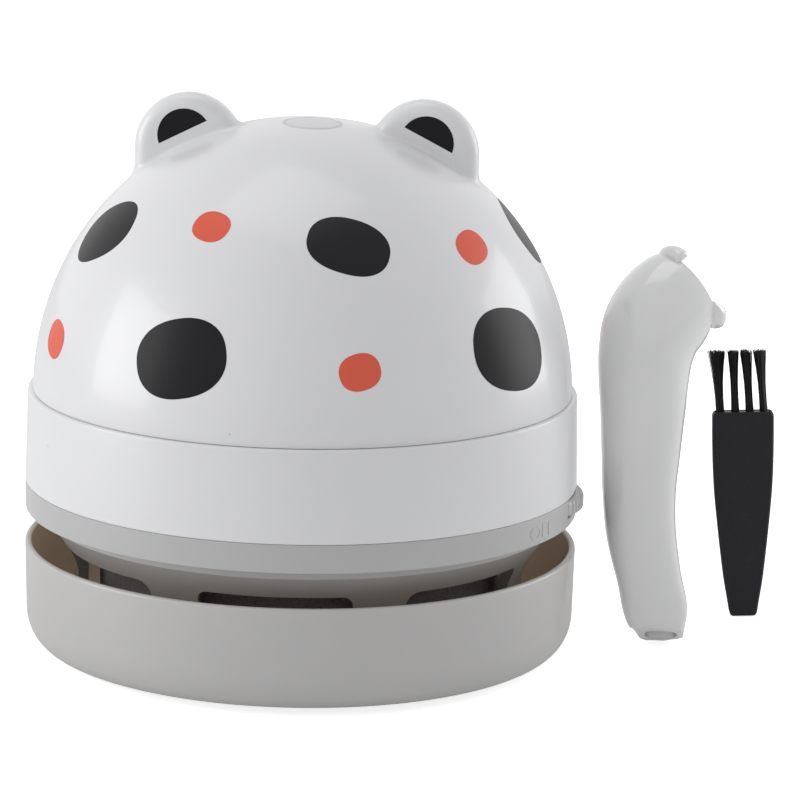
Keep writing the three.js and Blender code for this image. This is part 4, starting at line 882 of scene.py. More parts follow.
def chassis_profile():
    """Deck underside, the short tube in the basket, the outer band, its lip, and the deck's top."""
    low = body_radius - 0.05
    return [
        (shaft_hole, band_low), (throat_bore, band_low), (throat_bore, throat_low + 0.4),
        (throat_bore + 0.3, throat_low), (throat_radius - 0.3, throat_low), (throat_radius, throat_low + 0.4),
        (throat_radius, band_low), *bend((low - 0.35, band_low), (low, band_low), (low, band_low + 0.35), 5),
        (body_radius, seam - 0.12), (body_radius - 0.12, seam), (lip_radius, seam),
        (lip_radius, lip_top - 0.25), (lip_radius - 0.25, lip_top), (lip_bore, lip_top),
        (lip_bore, deck_top), (shaft_hole, deck_top),
    ]


grey_band = solid("grey_band", turned(chassis_profile(), 288), wrap=loop)
sinks = solid("screw sinks", *copies(rod(2.5, 25, 28, screw_circle, 32), foot_azimuths))
combine(grey_band, "DIFFERENCE", sinks, *[solid("switch cut", grid) for grid in switch_cuts()])
settle(grey_band, "upper_unit", grey_shell, "grey_plastic", "chassis")

seal_profile = [(38.8, 24.6), *bend((42.6, 24.6), (43.1, 24.6), (43.35, 25), 4),
                *bend((44.1, 25.6), (44.4, 25.8), (44.35, 26), 3), (38.8, 26)]
seal = solid("soft_seal", turned(seal_profile, 240), wrap=loop)
settle(seal, "upper_unit", soft_rubber, "rubber", "seal_ring")

# %% [markdown]
# The white band is a plain tube that closes the switch pocket from above and carries the dome on a
# ledge inside. At its back it has a slot for the charging socket and a round hole for the charge lamp.
# It is turned too, with a bevel that catches the light at the seam below the dome.

# %% White band
socket_height, lamp_height, lamp_aside, rear_azimuth = 38.9, 39.4, 9.4, 180
band_bore, ledge_bore, ledge_low, rear_cut = 48, 46.6, 46.2, (45, 52)


def white_band_profile():
    """Straight wall with a small bevel at its top, a ledge inside for the dome, open below."""
    top, low = body_radius - 0.4, seam + 0.05
    return [
        (band_bore, low), (body_radius - 0.12, low), (body_radius, low + 0.12),
        *bend((top, band_top - 0.35), (top, band_top), (top - 0.35, band_top), 5),
        (ledge_bore, band_top), (ledge_bore, ledge_low), (band_bore, ledge_low),
    ]


white_band = solid("white_band", turned(white_band_profile(), 288), wrap=loop)
socket_hole = drawn_out(rounded_outline(4.85, 1.95, 1.55), *rear_cut, up_at=socket_height)
lamp_hole = drawn_out(rounded_outline(1.5, 1.5, 1.499), *rear_cut, up_at=lamp_height) - [lamp_aside, 0, 0]
rear_holes = solid("rear holes", *[turn_to(hole, rear_azimuth) for hole in (socket_hole, lamp_hole)])
combine(white_band, "DIFFERENCE", rear_holes)
settle(white_band, "upper_unit", white_shell, "white_plastic", "middle_band")

# %% [markdown]
# The dome is a soft square-shouldered hemisphere. In side view its outline follows
# (r / R) to the power 2.15 plus (h / H) to the power 1.94 equals 1, which keeps the shoulders full. The
# ears are flat arches with round edges that are moulded in one with it, so each ear's skirt runs out
# on to the dome in a small fillet before the two solids are joined.

# %% Dome outline
dome_base, dome_radius, dome_height, dome_wall = 48.1, body_radius - 1.33, 48.8, 2.0
side_power, crown_power = 2.15, 1.94


def dome_curve(radius, height, rows):
    """Points of the outline by a growing angle t: r = R cos(t)^(2/side), h = H sin(t)^(2/crown)."""
    angle = np.linspace(0, np.pi / 2, rows)
    flat = radius * np.abs(np.cos(angle)) ** (2 / side_power)
    flat[-1] = 0
    return np.stack([flat, dome_base + height * np.sin(angle) ** (2 / crown_power)], axis=-1)


def dome_value(points):
    """Less than 0 inside the dome and more than 0 outside it."""
    flat = np.hypot(points[..., 0], points[..., 1]) / dome_radius
    rise = np.clip(points[..., 2] - dome_base, 0, None) / dome_height
    return flat ** side_power + rise ** crown_power - 1


def halved(low, high, is_past, turns=40):
    """The place between low and high from which is_past holds, by halving, for all points at once."""
    for _ in range(turns):
        middle = (low + high) / 2
        past = is_past(middle)
        low, high = np.where(past, low, middle), np.where(past, middle, high)
    return middle


def on_dome(points, lift=0.0):
    """Each point moved along its ray from the dome's base centre to the surface, then lifted along the
    surface's normal."""
    centre = np.array([0, 0, dome_base])
    ray = points - centre
    length = halved(np.zeros(ray.shape[:-1]), np.full(ray.shape[:-1], 4.0),
                    lambda share: dome_value(centre + ray * share[..., None]) > 0)
    found = centre + ray * length[..., None]
    x, y = found[..., 0], found[..., 1]
    flat, rise = np.hypot(x, y) + 1e-9, np.clip(found[..., 2] - dome_base, 0, None)
    flat_slope = side_power * (flat / dome_radius) ** (side_power - 1) / dome_radius
    rise_slope = crown_power * (rise / dome_height) ** (crown_power - 1) / dome_height
    return found + unit(np.stack([x / flat * flat_slope, y / flat * flat_slope, rise_slope], axis=-1)) * lift


# %% Dome with ears
ear_radius, ear_half, ear_edge = 9.8, 2.8, 2.4
ear_side, ear_back, ear_rise = 21.1, 0.2, 91.5
fillet_least, fillet_more, skirt_reach, skirt_sink = 0.7, 1.6, 0.7, -1.0


def ear_grid(side, columns=144):
    """The ear is an upright arch with a round edge: a half disc above its middle, straight sides below.
    It is cut in rings square to a line that leans outwards from the dome's base centre; each ring is
    found by halving. Below, a curve runs from the ear's side on to the dome, wider at the two ends than
    at the faces, and the last rings sink under the surface and close."""
    middle = np.array([side * ear_side, ear_back, ear_rise])
    lean = unit(middle - [0, ear_back, dome_base])
    back = np.array([0.0, 1.0, 0.0])
    across = np.cross(back, lean)
    angle = full_turn(columns)

    def ring_points(level):
        """The ear's outline at a level along the lean, for one level per column."""
        reach = np.sqrt(np.clip(ear_radius ** 2 - np.clip(level, 0, None) ** 2, 0, None))
        direction = np.stack([reach * np.cos(angle), (ear_half * 0.6 + 0.4) * np.sin(angle)], axis=-1)
        direction = direction / (np.linalg.norm(direction, axis=-1, keepdims=True) + 1e-12)

        def is_outside(length):
            """True past the ear's rim, or past its face where the edge rounds it off."""
            aside = across[0] * length * direction[:, 0] + lean[0] * level
            above = across[2] * length * direction[:, 0] + lean[2] * level
            out = np.hypot(aside, np.clip(above, 0, None))
            past_flat = np.clip(out - (ear_radius - ear_edge), 0, ear_edge)
            thick = ear_half - ear_edge + np.sqrt(ear_edge ** 2 - past_flat ** 2)
            return (np.abs(length * direction[:, 1]) > thick) | (out > ear_radius)

        length = halved(np.zeros(columns), np.full(columns, 2 * ear_radius), is_outside)
        flat = direction * length[:, None]
        return middle + across * flat[:, :1] + back * flat[:, 1:] + lean * level[:, None]

    reach = np.full(columns, ear_radius * 0.98)
    level = halved(-reach, reach, lambda height: dome_value(ring_points(height)) >= 0)
    meeting = on_dome(ring_points(level))
    fillet = fillet_least + fillet_more * np.cos(angle) ** 4
    start = level + fillet
    tops = ear_radius * np.sin(np.linspace(np.pi / 2, 0.12, 30))
    tops = tops[tops > start.max()]
    share = np.linspace(0, 1, 26)[1:]
    sides = [ring_points(np.full(columns, height)) for height in tops]
    sides += [ring_points(tops[-1] + (start - tops[-1]) * part) for part in share]
    tangent = np.roll(meeting, -1, axis=0) - np.roll(meeting, 1, axis=0)
    outwards = np.cross(tangent, lean)
    outwards *= np.sign(np.sum(outwards * (meeting - meeting.mean(axis=0)), axis=-1, keepdims=True))
    outwards = unit(outwards)
    landing = on_dome(meeting + outwards * fillet[:, None])
    curve = [sides[-1] * (1 - t) ** 2 + 2 * meeting * t * (1 - t) + landing * t ** 2
             for t in np.linspace(0, 1, 9)[1:]]
    skirt = meeting + outwards * (fillet[:, None] + skirt_reach)
    beyond, under = on_dome(skirt, -0.05), on_dome(skirt, skirt_sink)
    centre = on_dome(meeting.mean(axis=0, keepdims=True), skirt_sink)
    closing = [on_dome(under + (centre - under) * t, skirt_sink) for t in (0.33, 0.66)]
    return np.stack([*sides, *curve, beyond, under, *closing, np.repeat(centre, columns, axis=0)])


outer_curve = dome_curve(dome_radius, dome_height, 90)
inner_curve = dome_curve(dome_radius - dome_wall, dome_height - dome_wall, 30)
spigot = [(45, dome_base + 2.6), (45, 44.4), (45.3, 44.1), (46.0, 44.1), (46.3, 44.4), (46.3, dome_base)]
inner_part = inner_curve[inner_curve[:, 1] > dome_base + 2.8][::-1]
dome = solid("dome", turned(np.concatenate([inner_part, spigot, outer_curve]), 288), sharp_angle=40)
combine(dome, "UNION", solid("ears", ear_grid(-1), ear_grid(1), sharp_angle=60), sharp_angle=40)
settle(dome, "upper_unit", white_shell, "white_plastic", "dome_shell")

# %% [markdown]
# The dome carries a print of plain rounded spots, large black ones and small coral ones in turn, in two
# rows round it. It is a pad print: thin films of ink on the finished dome. Each film is a closed shell
# a few hundredths of a millimetre thick, a disc-like grid from its middle out to its outline, laid on
# the dome by the same rays, so it follows the surface exactly.

# %% Printed spots
film_rings, film_top, film_bottom, film_sharp_angle, spot_power = 26, 0.035, -0.03, 50, 2.3


def squared(wave, power):
    """A cosine or sine raised to 2 / power with its sign kept, which squares an oval off."""
    return np.sign(wave) * np.abs(wave) ** (2 / power)


def oval(half_width, half_height, tilt, points=96):
    """An upright oval outline: across = w cos(t), up = h sin(t), squared off a little, then tilted."""
    angle = full_turn(points)
    flat = np.stack([half_width * squared(np.cos(angle), spot_power),
                     half_height * squared(np.sin(angle), spot_power)], axis=-1)
    lean = np.radians(tilt)
    return flat @ np.array([[np.cos(lean), np.sin(lean)], [-np.sin(lean), np.cos(lean)]])


def dome_frame(azimuth, height):
    """A point on the dome and the directions across and up the surface there."""
    flat = dome_radius * (1 - ((height - dome_base) / dome_height) ** crown_power) ** (1 / side_power)
    point = turn_to(np.array([0, -flat, height]), azimuth)
    across = turn_to(np.array([1.0, 0, 0]), azimuth)
    return point, across, unit(on_dome(point + [0, 0, 1.0]) - on_dome(point - [0, 0, 1.0]))


def film(outline, azimuth, height):
    """Rows from the middle to the outline on top, then back underneath: one closed thin shell."""
    point, across, upward = dome_frame(azimuth, height)
    flat = outline[None] * np.linspace(0, 1, film_rings)[:, None, None]
    spread = point + across * flat[..., :1] + upward * flat[..., 1:]
    return np.concatenate([on_dome(spread, film_top), on_dome(spread, film_bottom)[::-1]])


def print_piece(name, grids, material, slot, wrap=(False, True)):
    """Several films in one piece that rides on the upper unit."""
    films = solid(name, *grids, wrap=wrap, sharp_angle=film_sharp_angle)
    settle(films, "upper_unit", material, slot)


# azimuth from the front, height, half width, half height, tilt, all in degrees or mm
black_spots = [
    (-62, 79, 8.2, 6.2, 28), (18, 81, 7.4, 5.6, -20), (95, 78, 8.0, 6.4, 18), (178, 80, 7.6, 6.0, -15),
    (-104, 61, 9.4, 7.6, -12), (-21, 62, 8.8, 7.0, 14), (57, 62, 9.6, 7.4, -10), (137, 62, 9.0, 7.2, 20),
    (-150, 64, 8.6, 6.6, 10),
]
coral_spots = [
    (-22, 83, 3.6, 3.1, -15), (56, 79, 4.0, 3.2, 20), (136, 80, 3.5, 3.0, -10), (-118, 80, 3.8, 3.2, 12),
    (-62, 60, 3.9, 3.3, -18), (18, 61, 3.7, 3.2, 15), (116, 60, 4.0, 3.4, -20), (175, 61, 3.6, 3.2, 10),
]
for name, spots, ink, slot in (("black_spots", black_spots, print_black, "black_plastic"),
                               ("coral_spots", coral_spots, print_coral, "grey_plastic")):
    films = [film(oval(wide, tall, tilt), azimuth, height) for azimuth, height, wide, tall, tilt in spots]
    print_piece(name, films, ink, slot)

# %% [markdown]
# Each ear has a printed half disc on its flat front, and a round label sits on the crown. They are thin
# films as well. An image would do for the colour, but a film's edge stays sharp from close by.

# %% Ear marks
mark_radius, mark_chord, mark_lean, mark_aside, mark_rise = 4.85, 0.65, 27, 21.7, 93.85


def ear_mark(side, rings=10):
    """A thin half disc, cut by a chord and leaning with the ear, on the ear's flat front."""
    start = np.arcsin(mark_chord / mark_radius)
    arc = np.linspace(start, np.pi - start, 70)
    chord = mark_radius * np.cos(start) * np.linspace(-1, 1, 26)[1:-1]
    rim = mark_radius * np.stack([np.cos(arc), np.sin(arc)], axis=-1)
    outline = np.concatenate([rim, np.stack([chord, np.full(len(chord), mark_chord)], axis=-1)])
    middle = outline.mean(axis=0)
    flat = middle + (outline - middle)[None] * np.linspace(0, 1, rings)[:, None, None]
    lean = np.radians(mark_lean) * side
    x = flat[..., 0] * np.cos(lean) + flat[..., 1] * np.sin(lean) + side * mark_aside
    z = -flat[..., 0] * np.sin(lean) + flat[..., 1] * np.cos(lean) + mark_rise
    top = np.stack([x, np.full_like(x, ear_back - ear_half - film_top), z], axis=-1)
    return np.concatenate([top, (top + [0, 2 * film_top, 0])[::-1]])


print_piece("ear_marks", [ear_mark(-1), ear_mark(1)], print_black, "black_plastic")

# %% Round label on the crown
label_place, label_radius, label_lift = np.array([1.2, -1.8]), 5.5, 0.05
ring_radii, ring_lift = (4.95, 5.05, 5.15), 0.07


def crown_disc(radii, lift):
    """A disc or ring laid on the crown: rings of the given radii about the label's middle."""
    angle, radii = full_turn(96), np.array(radii)[:, None]
    flat = label_place + np.stack([radii * np.cos(angle), radii * np.sin(angle)], axis=-1)
    points = np.concatenate([flat, np.full((*flat.shape[:2], 1), dome_base + dome_height)], axis=-1)
    return np.concatenate([on_dome(points, lift), on_dome(points, film_bottom)[::-1]])


label_disc = crown_disc(np.linspace(0, label_radius, 12), label_lift)
label_ring = crown_disc(ring_radii, ring_lift)
print_piece("crown_label", [label_disc], label_film, "white_plastic")
print_piece("label_ring", [label_ring], print_grey, "grey_plastic", wrap=loop)

# %% [markdown]
# The switch knob is a short ribbed slider. It is straight at the back, where it slides along its
# pocket, and its front is rounder than the band, so that it stands proud in the middle only. OFF and ON
# are small raised letters on either side of the pocket, as such a switch has.

# %% Switch knob
knob_round, knob_proud = 15.3, 1.4
knob_centre = body_radius + knob_proud - knob_round
rib_count, rib_pitch, rib_half, rib_depth = 11, 1.25, 0.3, 0.35
end_radius, end_depth = 0.4, 0.3


def rib_dent(across):
    """Groove depth: rib_depth times a half circle, within rib_half of each of the ribs' even lines."""
    lines = (np.arange(rib_count) - rib_count // 2) * rib_pitch
    off = np.abs(across[:, None] - lines).min(axis=1)
    return rib_depth * np.sqrt(np.clip(1 - (off / rib_half) ** 2, 0, 1))


def knob_grid(columns=241, low_edge=0.45, top_edge=0.95):
    """The front stands at depth centre + sqrt(R^2 - x^2) less the groove depth. Rows go up it: each edge
    is a quarter circle, and the sharp back closes the loop. Both ends close to a point."""
    across = np.linspace(-knob_half, knob_half, columns)
    front = knob_centre + np.sqrt(knob_round ** 2 - across ** 2) - rib_dent(across)
    end_share = np.clip((knob_half - np.abs(across)) / end_radius, 0, 1)
    front = front - end_depth * (1 - np.sqrt(1 - (1 - end_share) ** 2))
    angle = np.linspace(0, np.pi / 2, 8)
    height = np.concatenate([[knob_low], knob_low + low_edge * (1 - np.cos(angle)),
                             knob_top - top_edge * (1 - np.sin(angle)), [knob_top]])
    sink = np.concatenate([[0], low_edge * (1 - np.sin(angle)), top_edge * (1 - np.cos(angle)), [0]])
    depth = np.maximum(front[None] - sink[:, None], knob_back + 0.03)
    depth[[0, -1]] = knob_back
    rows = np.stack([np.broadcast_to(across, depth.shape), -depth,
                     np.broadcast_to(height[:, None], depth.shape)], axis=-1)
    ends = [np.broadcast_to([x, -knob_back - 0.1, (knob_low + knob_top) / 2], (len(height), 1, 3))
            for x in (-knob_half, knob_half)]
    return np.concatenate([ends[0], rows, ends[1]], axis=1)


knob = solid("knob", turn_to(knob_grid(), switch_azimuth), wrap=(True, False))
stem_outline = rounded_outline(stem_half, 0.9, 0.15, 4)
stem = drawn_out(stem_outline, body_radius - 4, knob_back + 0.3, up_at=stem_height)
combine(knob, "UNION", solid("stem", turn_to(stem, switch_azimuth)))
settle(knob, "switch_slider", grey_shell, "grey_plastic", "switch_knob")

# %% [markdown]
# The letters start as Blender's own text, which already holds good outlines. Made a mesh, they can be
# rolled on to the band by the same turn about the axis as everything else.

# %% Letters beside the switch
letter_size, letter_depth, letter_stretch = 3.4, 0.5, 1.4
letter_rise, letter_root, letter_height = 0.07, -0.2, 27.5


def raised_letters(name, words, azimuth):
    """Flat letters made a mesh, then rolled on to the band: across becomes an angle, depth a radius."""
    text = bpy.data.curves.new(name, "FONT")
    text.body, text.size, text.extrude = words, letter_size, letter_depth
    text.align_x, text.resolution_u = "CENTER", 6
    holder = put_in_scene(name + " text", text)
    mesh = bpy.data.meshes.new_from_object(holder.evaluated_get(bpy.context.evaluated_depsgraph_get()))
    bpy.data.objects.remove(holder)
    flat = points_of(mesh)
    angle = np.radians(azimuth) + letter_stretch * flat[:, 0] / body_radius
    radius = body_radius + np.where(flat[:, 2] > 0, letter_rise, letter_root)
    rolled = np.stack([radius * np.sin(angle) + axis_x, -radius * np.cos(angle),
                       flat[:, 1] + letter_height], axis=-1) * MM
    mesh.vertices.foreach_set("co", rolled.ravel())
    clean(mesh)
    settle(put_in_scene(name, mesh), "upper_unit", grey_shell, "grey_plastic")


raised_letters("off_letters", "OFF", 64.5)
raised_letters("on_letters", "ON", 109)

# %% [markdown]
# At the back sits the charging socket, a folded steel shell with a tongue. Its shell is an outline
# carried inwards and back out again, so that the mouth is hollow.

# %% Charging socket
shell_outline, mouth_outline = rounded_outline(4.5, 1.6, 1.2, 12), rounded_outline(4.1, 1.2, 0.8, 12)
shell_back, mouth_back, shell_front = 41.7, 43.7, 49.3
socket_grid = upright_rows(
    (0 * shell_outline, shell_back), (shell_outline, shell_back), (shell_outline, shell_front - 0.1),
    (shell_outline * 0.985, shell_front), (mouth_outline * 1.01, shell_front),
    (mouth_outline, shell_front - 0.15), (mouth_outline, mouth_back), (0 * mouth_outline, mouth_back),
    up_at=socket_height)
charge_socket = solid("charge_socket", turn_to(socket_grid, rear_azimuth))
settle(charge_socket, "upper_unit", bright_steel, "steel", "usb_socket")
tongue = drawn_out(rounded_outline(3.1, 0.36, 0.3, 6), 43.8, 48.2, up_at=socket_height, edge=0.15)
settle(solid("socket_tongue", turn_to(tongue, rear_azimuth)), "upper_unit", inner_black, "black_plastic")

# %% [markdown]
# Four screws go up through the deck. Each is a turned profile with a rounded head, and two flat blocks
# cut the cross in it. Their thread is hidden, so the shank stays plain.

# %% Deck screws
shank_radius, head_radius, head_top, cross_low, cross_high = 1, 2.2, 28.1, 25.8, 27.0
screw_profile = [(0, 36.3), (0.4, 36.3), (shank_radius, 35.3), (shank_radius, head_top),
                 (head_radius, head_top), *bend((head_radius, 27.1), (head_radius, 26.6), (1.6, 26.6), 5),
                 (0, 26.55)]
screw_grid = turned(screw_profile, 40)
cross_blocks = [prism(rounded_outline(*half_sizes, 0.1, 3), cross_low, cross_high)
                for half_sizes in ((1.2, 0.28), (0.28, 1.2))]
for number, azimuth in enumerate(foot_azimuths, 1):
    screw = solid(f"deck_bolt_{number}", turn_to(screw_grid + [0, -screw_circle, 0], azimuth))
    for block in cross_blocks:
        combine(screw, "DIFFERENCE", solid("screw slot", turn_to(block + [0, -screw_circle, 0], azimuth)))
    settle(screw, "upper_unit", bright_steel, "steel", f"deck_screw_{number}")

# %% [markdown]
# The nozzle is a bent hollow tube with a slit at its foot. Its stations give the middle, the half sizes
# and the squareness of each section, and smooth curves run through them, so the tube swells and turns
# as the real one does. Its wall turns over at both ends.

# %% Nozzle
nozzle_x, nozzle_y, nozzle_turn = body_radius + 16.93, 10.46, 6.0
nozzle_wall, spigot_radius, off_floor = 1.2, 8.15, 0.02
slant_least, slant_front, slant_left = 1.8, 2, 1.1
# height, way right, way back, half width, half depth, power of the section
stations = np.array([
    (1.6, -1.1, 0, 4.2, 2.6, 3), (4.7, -1.8, 0, 5.45, 3.3, 3.2), (13.1, -3.7, 0, 5.9, 4.4, 3.2),
    (21.4, -5.4, 0, 6.38, 5.4, 3), (28.6, -5.96, 0, 6.66, 6, 2.8), (36.9, -5.9, 0, 7.2, 6.7, 2.6),
    (45.2, -5.8, 0, 7.8, 7.5, 2.4), (50, -5.8, 0.1, 8.2, 8.1, 2.2), (54.4, -5.55, 0.5, 8.6, 8.6, 2),
    (58.7, -4.5, 1.4, 9.1, 9.1, 2), (62.4, -2.1, 2.8, 9.2, 9, 2), (64.3, -0.25, 3.8, 8.8, 8.7, 2),
    (65.6, 1.61, 4.84, spigot_radius, spigot_radius, 2),
])


def through(table, per_step):
    """A smooth curve through rows of numbers: cubic pieces whose slopes are the neighbours' mean slope,
    measured along the table's own way, so uneven steps don't overshoot."""
    way = np.concatenate([[0], np.cumsum(np.linalg.norm(np.diff(table[:, :3], axis=0), axis=1))])
    slope = np.gradient(table, way, axis=0)
    pieces = [np.linspace(start, end, per_step, endpoint=False) for start, end in zip(way[:-1], way[1:])]
    at = np.concatenate([*pieces, way[-1:]])
    k = np.clip(np.searchsorted(way, at, side="right") - 1, 0, len(way) - 2)
    step = (way[k + 1] - way[k])[:, None]
    t = (at - way[k])[:, None] / step
    return ((2 * t**3 - 3 * t**2 + 1) * table[k] + (t**3 - 2 * t**2 + t) * step * slope[k]
            + (3 * t**2 - 2 * t**3) * table[k + 1] + (t**3 - t**2) * step * slope[k + 1])


def middles(table):
    """The stations' middles as points (x, y, z)."""
    return table[..., [1, 2, 0]]


def tube_rows(table, inset, columns=112):
    """Sections along the smooth curve: middle + u across + v inward, with u and v on a squared oval."""
    middle = middles(table)
    along = unit(np.gradient(middle, axis=0))
    across = unit(np.stack([along[:, 2], 0 * along[:, 0], -along[:, 0]], axis=-1))
    inward = np.cross(along, across)
    angle, power = full_turn(columns), table[:, 5:6]
    u = (table[:, 3:4] - inset) * squared(np.cos(angle), power)
    v = (table[:, 4:5] - inset) * squared(np.sin(angle), power)
    return middle[:, None] + across[:, None] * u[..., None] + inward[:, None] * v[..., None]


def slanted_tip(rows, table):
    """The foot is cut slanting: low rows rise towards the front and, less, to the left, and none goes
    below the desk. The rise fades out by the second station."""
    tip, next_up = stations[0], stations[1, 0]
    fade = np.clip((next_up - table[:, 0]) / (next_up - tip[0]), 0, 1)[:, None]
    to_front, to_left = (tip[2] - rows[..., 1]) / tip[4], (tip[1] - rows[..., 0]) / tip[3]
    slant = slant_least + slant_front * to_front + slant_left * to_left
    height = rows[..., 2] + fade * (np.maximum(off_floor, slant) - tip[0])
    return np.stack([rows[..., 0], rows[..., 1], np.maximum(height, off_floor)], axis=-1)


def stand_nozzle(points):
    """From the nozzle's own place to where it stands beside the body."""
    return turn_to(points, nozzle_turn) + [nozzle_x, nozzle_y, 0]


fine_stations = through(stations, 10)
outer, wall_middle, inner = [slanted_tip(tube_rows(fine_stations, inset), fine_stations)
                             for inset in (0, nozzle_wall / 2, nozzle_wall)]
foot_edge = np.maximum(wall_middle[0] - [0, 0, 0.12], [-np.inf, -np.inf, 0])
mouth_edge = wall_middle[-1] + 0.25 * unit(middles(fine_stations[-1]) - middles(fine_stations[-2]))
nozzle_grid = np.concatenate([outer, mouth_edge[None], inner[::-1], foot_edge[None]])
nozzle = solid("suction_nozzle", stand_nozzle(nozzle_grid), wrap=loop, sharp_angle=50)

# %% [markdown]
# The nozzle's round end has three lugs that pass through the inlet tube's notches and lock with a
# twist. Each is a ramp, so one outline is swept round the rim while it grows, and then joined on.

# %% Bayonet lugs
mouth_middle = middles(stations[-1])
mouth_out = unit(mouth_middle - middles(stations[-2]))
mouth_across = unit(np.array([mouth_out[2], 0, -mouth_out[0]]))
mouth_inward = np.cross(mouth_out, mouth_across)
lug_span, lug_starts, lug_rise_over, lug_end_over = 50, (54, 174, 294), 34, 5
lug_first_share, lug_last_share, lug_sink = 0.15, 0.7, 0.3
# along the tube past its rim and above its wall, in mm; the last three stay inside the wall
lug_outline = np.array([
    (-1.5, -0.1), (-1.1, 0.45), (-0.6, 0.9), (0, 1.25), (0.6, 1.4), (1.2, 1.25), (1.75, 0.85), (2.15, 0.4),
    (2.3, 0.1), (2.1, 0), (1.2, -0.05), (0.3, -0.1), (0, -0.6), (-0.8, -0.6), (-1.5, -0.6),
])


def lug_grid(start, steps=31):
    """A lug swept round the rim, in degrees from its start. Its outline grows as a sine over the first
    degrees, its far end is rounded over the last few, and where it is small it sinks into the wall."""
    end = start + lug_span
    angle = np.linspace(start, end, steps)
    growth = np.sin(np.pi / 2 * np.clip((angle - start) / lug_rise_over, 0, 1))
    grown = lug_first_share + (1 - lug_first_share) * growth
    ended = np.sqrt(1 - (1 - np.clip((end - angle) / lug_end_over, 0, 1)) ** 2)
    size = (grown * (lug_last_share + (1 - lug_last_share) * ended))[:, None]
    along, above = lug_outline[:, 0] * size, lug_outline[:, 1]
    above = np.where(above > -0.5, above * size - lug_sink * (1 - size), above)
    turned_by = np.radians(angle)[:, None, None]
    beside = mouth_across * np.cos(turned_by) + mouth_inward * np.sin(turned_by)
    grid = mouth_middle + beside * (spigot_radius + above)[..., None] + mouth_out * along[..., None]
    ends = [np.repeat(grid[k].mean(axis=0, keepdims=True), grid.shape[1], axis=0)[None] for k in (0, -1)]
    return np.concatenate([ends[0], grid, ends[1]])


lugs = solid("lugs", *[stand_nozzle(lug_grid(start)) for start in lug_starts], sharp_angle=40)
combine(nozzle, "UNION", lugs, sharp_angle=45)
settle(nozzle, "lower_body", nozzle_grey_and_painted_light, "grey_plastic", "nozzle")

# %% [markdown]
# The cleaning brush is a flat waisted handle with four tufts of nylon set in a slot. The handle is its
# outline drawn out to a thin plate. Its small bevel is part of the grid, so it has the same width all
# round, which a bevel modifier can't promise where the outline curves.

# %% Brush handle
brush_x, brush_y, brush_lean, brush_lift = body_radius + 30.6, 33.3, -2.1, 0.1
handle_top, handle_half, handle_thick, handle_bevel, handle_sharp_angle = 39.4, 5.7, 2.6, 0.35, 35
# height and half width
handle_rows = np.array([(0, 2.5), (2.15, 2.82), (6.8, 3.58), (12, 4.21), (18.4, 4.87), (23.6, 5.34),
                        (28.7, 5.6), (34, handle_half), (38.5, handle_half)])


def stand_brush(points):
    """Leans the brush a little, lifts it by a hair, and turns it into place beside the nozzle."""
    lean = np.radians(brush_lean)
    x = points[..., 0] * np.cos(lean) + points[..., 2] * np.sin(lean)
    z = -points[..., 0] * np.sin(lean) + points[..., 2] * np.cos(lean) + brush_lift
    return turn_to(np.stack([x, points[..., 1], z], axis=-1), nozzle_turn) + [brush_x, brush_y, 0]


def handle_outline():
    """Right side up from the smooth table, a round corner, and the same mirrored down the left."""
    table = np.stack([handle_rows[:, 1], 0 * handle_rows[:, 0], handle_rows[:, 0]], axis=-1)
    smooth = through(table, 5)[:, [0, 2]]
    foot_corner = bend((1.9, 0), (smooth[0, 0], 0), tuple(smooth[2]), 4)
    top_corner = bend((handle_half, 38.5), (handle_half, handle_top), (4.8, handle_top), 6)
    side = np.concatenate([foot_corner, smooth[3:-1], top_corner])
    return np.concatenate([side, side[::-1] * [-1, 1]])


def plate_grid(outline, thick, bevel):
    """Front middle line, front face, bevel, side, bevel, back face: the face rows shrink to the middle
    line of the plate and not to a point, so long faces stay even."""
    spine = np.stack([0 * outline[:, 0], np.clip(outline[:, 1], 2.5, handle_top - 5)], axis=-1)
    inset = outline + bevel * unit(spine - outline)
    half, flat = thick / 2, thick / 2 - bevel
    return upright_rows((spine, half), (inset, half), (outline, flat), (outline, -flat), (inset, -half),
                        (spine, -half))


plate = plate_grid(handle_outline(), handle_thick, handle_bevel)
handle = solid("handle", stand_brush(plate), sharp_angle=handle_sharp_angle)
slot_depth, slot_outline = 1.8, rounded_outline(5.2, 1.0, 0.25, 4)
tuft_slot = solid("tuft slot", stand_brush(prism(slot_outline, handle_top - slot_depth, handle_top + 1)))
combine(handle, "DIFFERENCE", tuft_slot, sharp_angle=handle_sharp_angle)
settle(handle, "lower_body", brush_black, "black_plastic", "brush_handle")

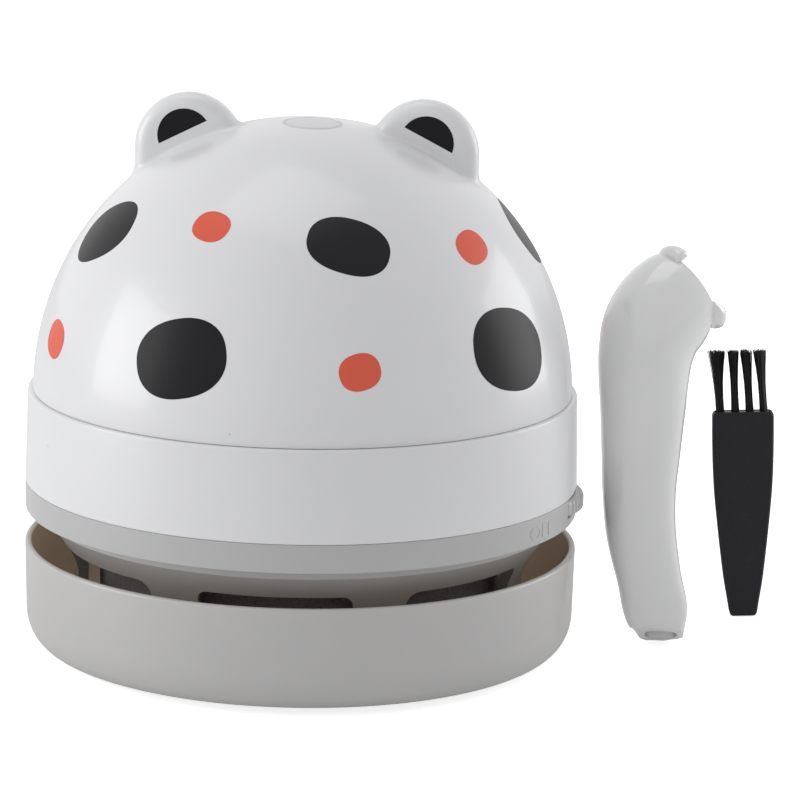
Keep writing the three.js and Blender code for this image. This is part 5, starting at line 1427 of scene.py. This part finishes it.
# %% [markdown]
# A tuft's hairs start close together and spread towards the tip. Their places follow a sunflower's
# seeds: each hair is one golden angle further round and a little further out, which fills an oval
# evenly. Small random shifts at the tips keep it from looking drawn.

# %% Bristles
# x of the root, x of the tip's middle, half width and half depth of the spread tip, in mm
tufts = [(-4.2, -4.95, 1.65, 1.5), (-1.4, -1.8, 1.1, 1.4), (1.3, 0.55, 1.12, 1.4), (3.92, 3.05, 1.25, 1.5)]
hairs_per_tuft, bristle_length, bristle_radius, bristle_taper = 120, 11.6, 0.075, 0.35
tuft_half_width, tuft_half_depth, tip_jitter, uneven_tips, bow_shares = 0.75, 0.62, 0.06, 0.55, (-0.22, -0.15)
golden_turn = np.pi * (3 - np.sqrt(5))
number = np.arange(hairs_per_tuft)
reach = np.sqrt((number + 0.5) / hairs_per_tuft)
c, s = reach * np.cos(golden_turn * number), reach * np.sin(golden_turn * number)
all_hairs = []
for root_x, tip_x, tip_width, tip_depth in tufts:
    roots = np.stack([root_x + tuft_half_width * c, tuft_half_depth * s,
                      np.full(hairs_per_tuft, handle_top - 0.6)], axis=-1)
    tip_height = handle_top + bristle_length - uneven_tips * dice.random(hairs_per_tuft)
    tips = np.stack([tip_x + tip_width * c + dice.normal(0, tip_jitter, hairs_per_tuft),
                     tip_depth * s + dice.normal(0, tip_jitter, hairs_per_tuft), tip_height], axis=-1)
    bow = np.stack([bow_shares[0] * tip_width * c, bow_shares[1] * s, 0 * c], axis=-1)
    all_hairs.append(strands(roots, tips, bow, bristle_radius, bristle_taper))
bed = prism(0.93 * slot_outline, handle_top - 1.5, handle_top - 0.15)
bristles = solid("tufts", *stand_brush(np.concatenate(all_hairs)), stand_brush(bed),
                 sharp_angle=hair_sharp_angle)
settle(bristles, "lower_body", bristle_black, "bristle", "brush_bristles")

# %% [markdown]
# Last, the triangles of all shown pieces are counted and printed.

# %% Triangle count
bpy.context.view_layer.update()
meshes = [piece.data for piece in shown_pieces() if piece.type == "MESH"]
print("triangles in all:", sum(len(face.vertices) - 2 for mesh in meshes for face in mesh.polygons))
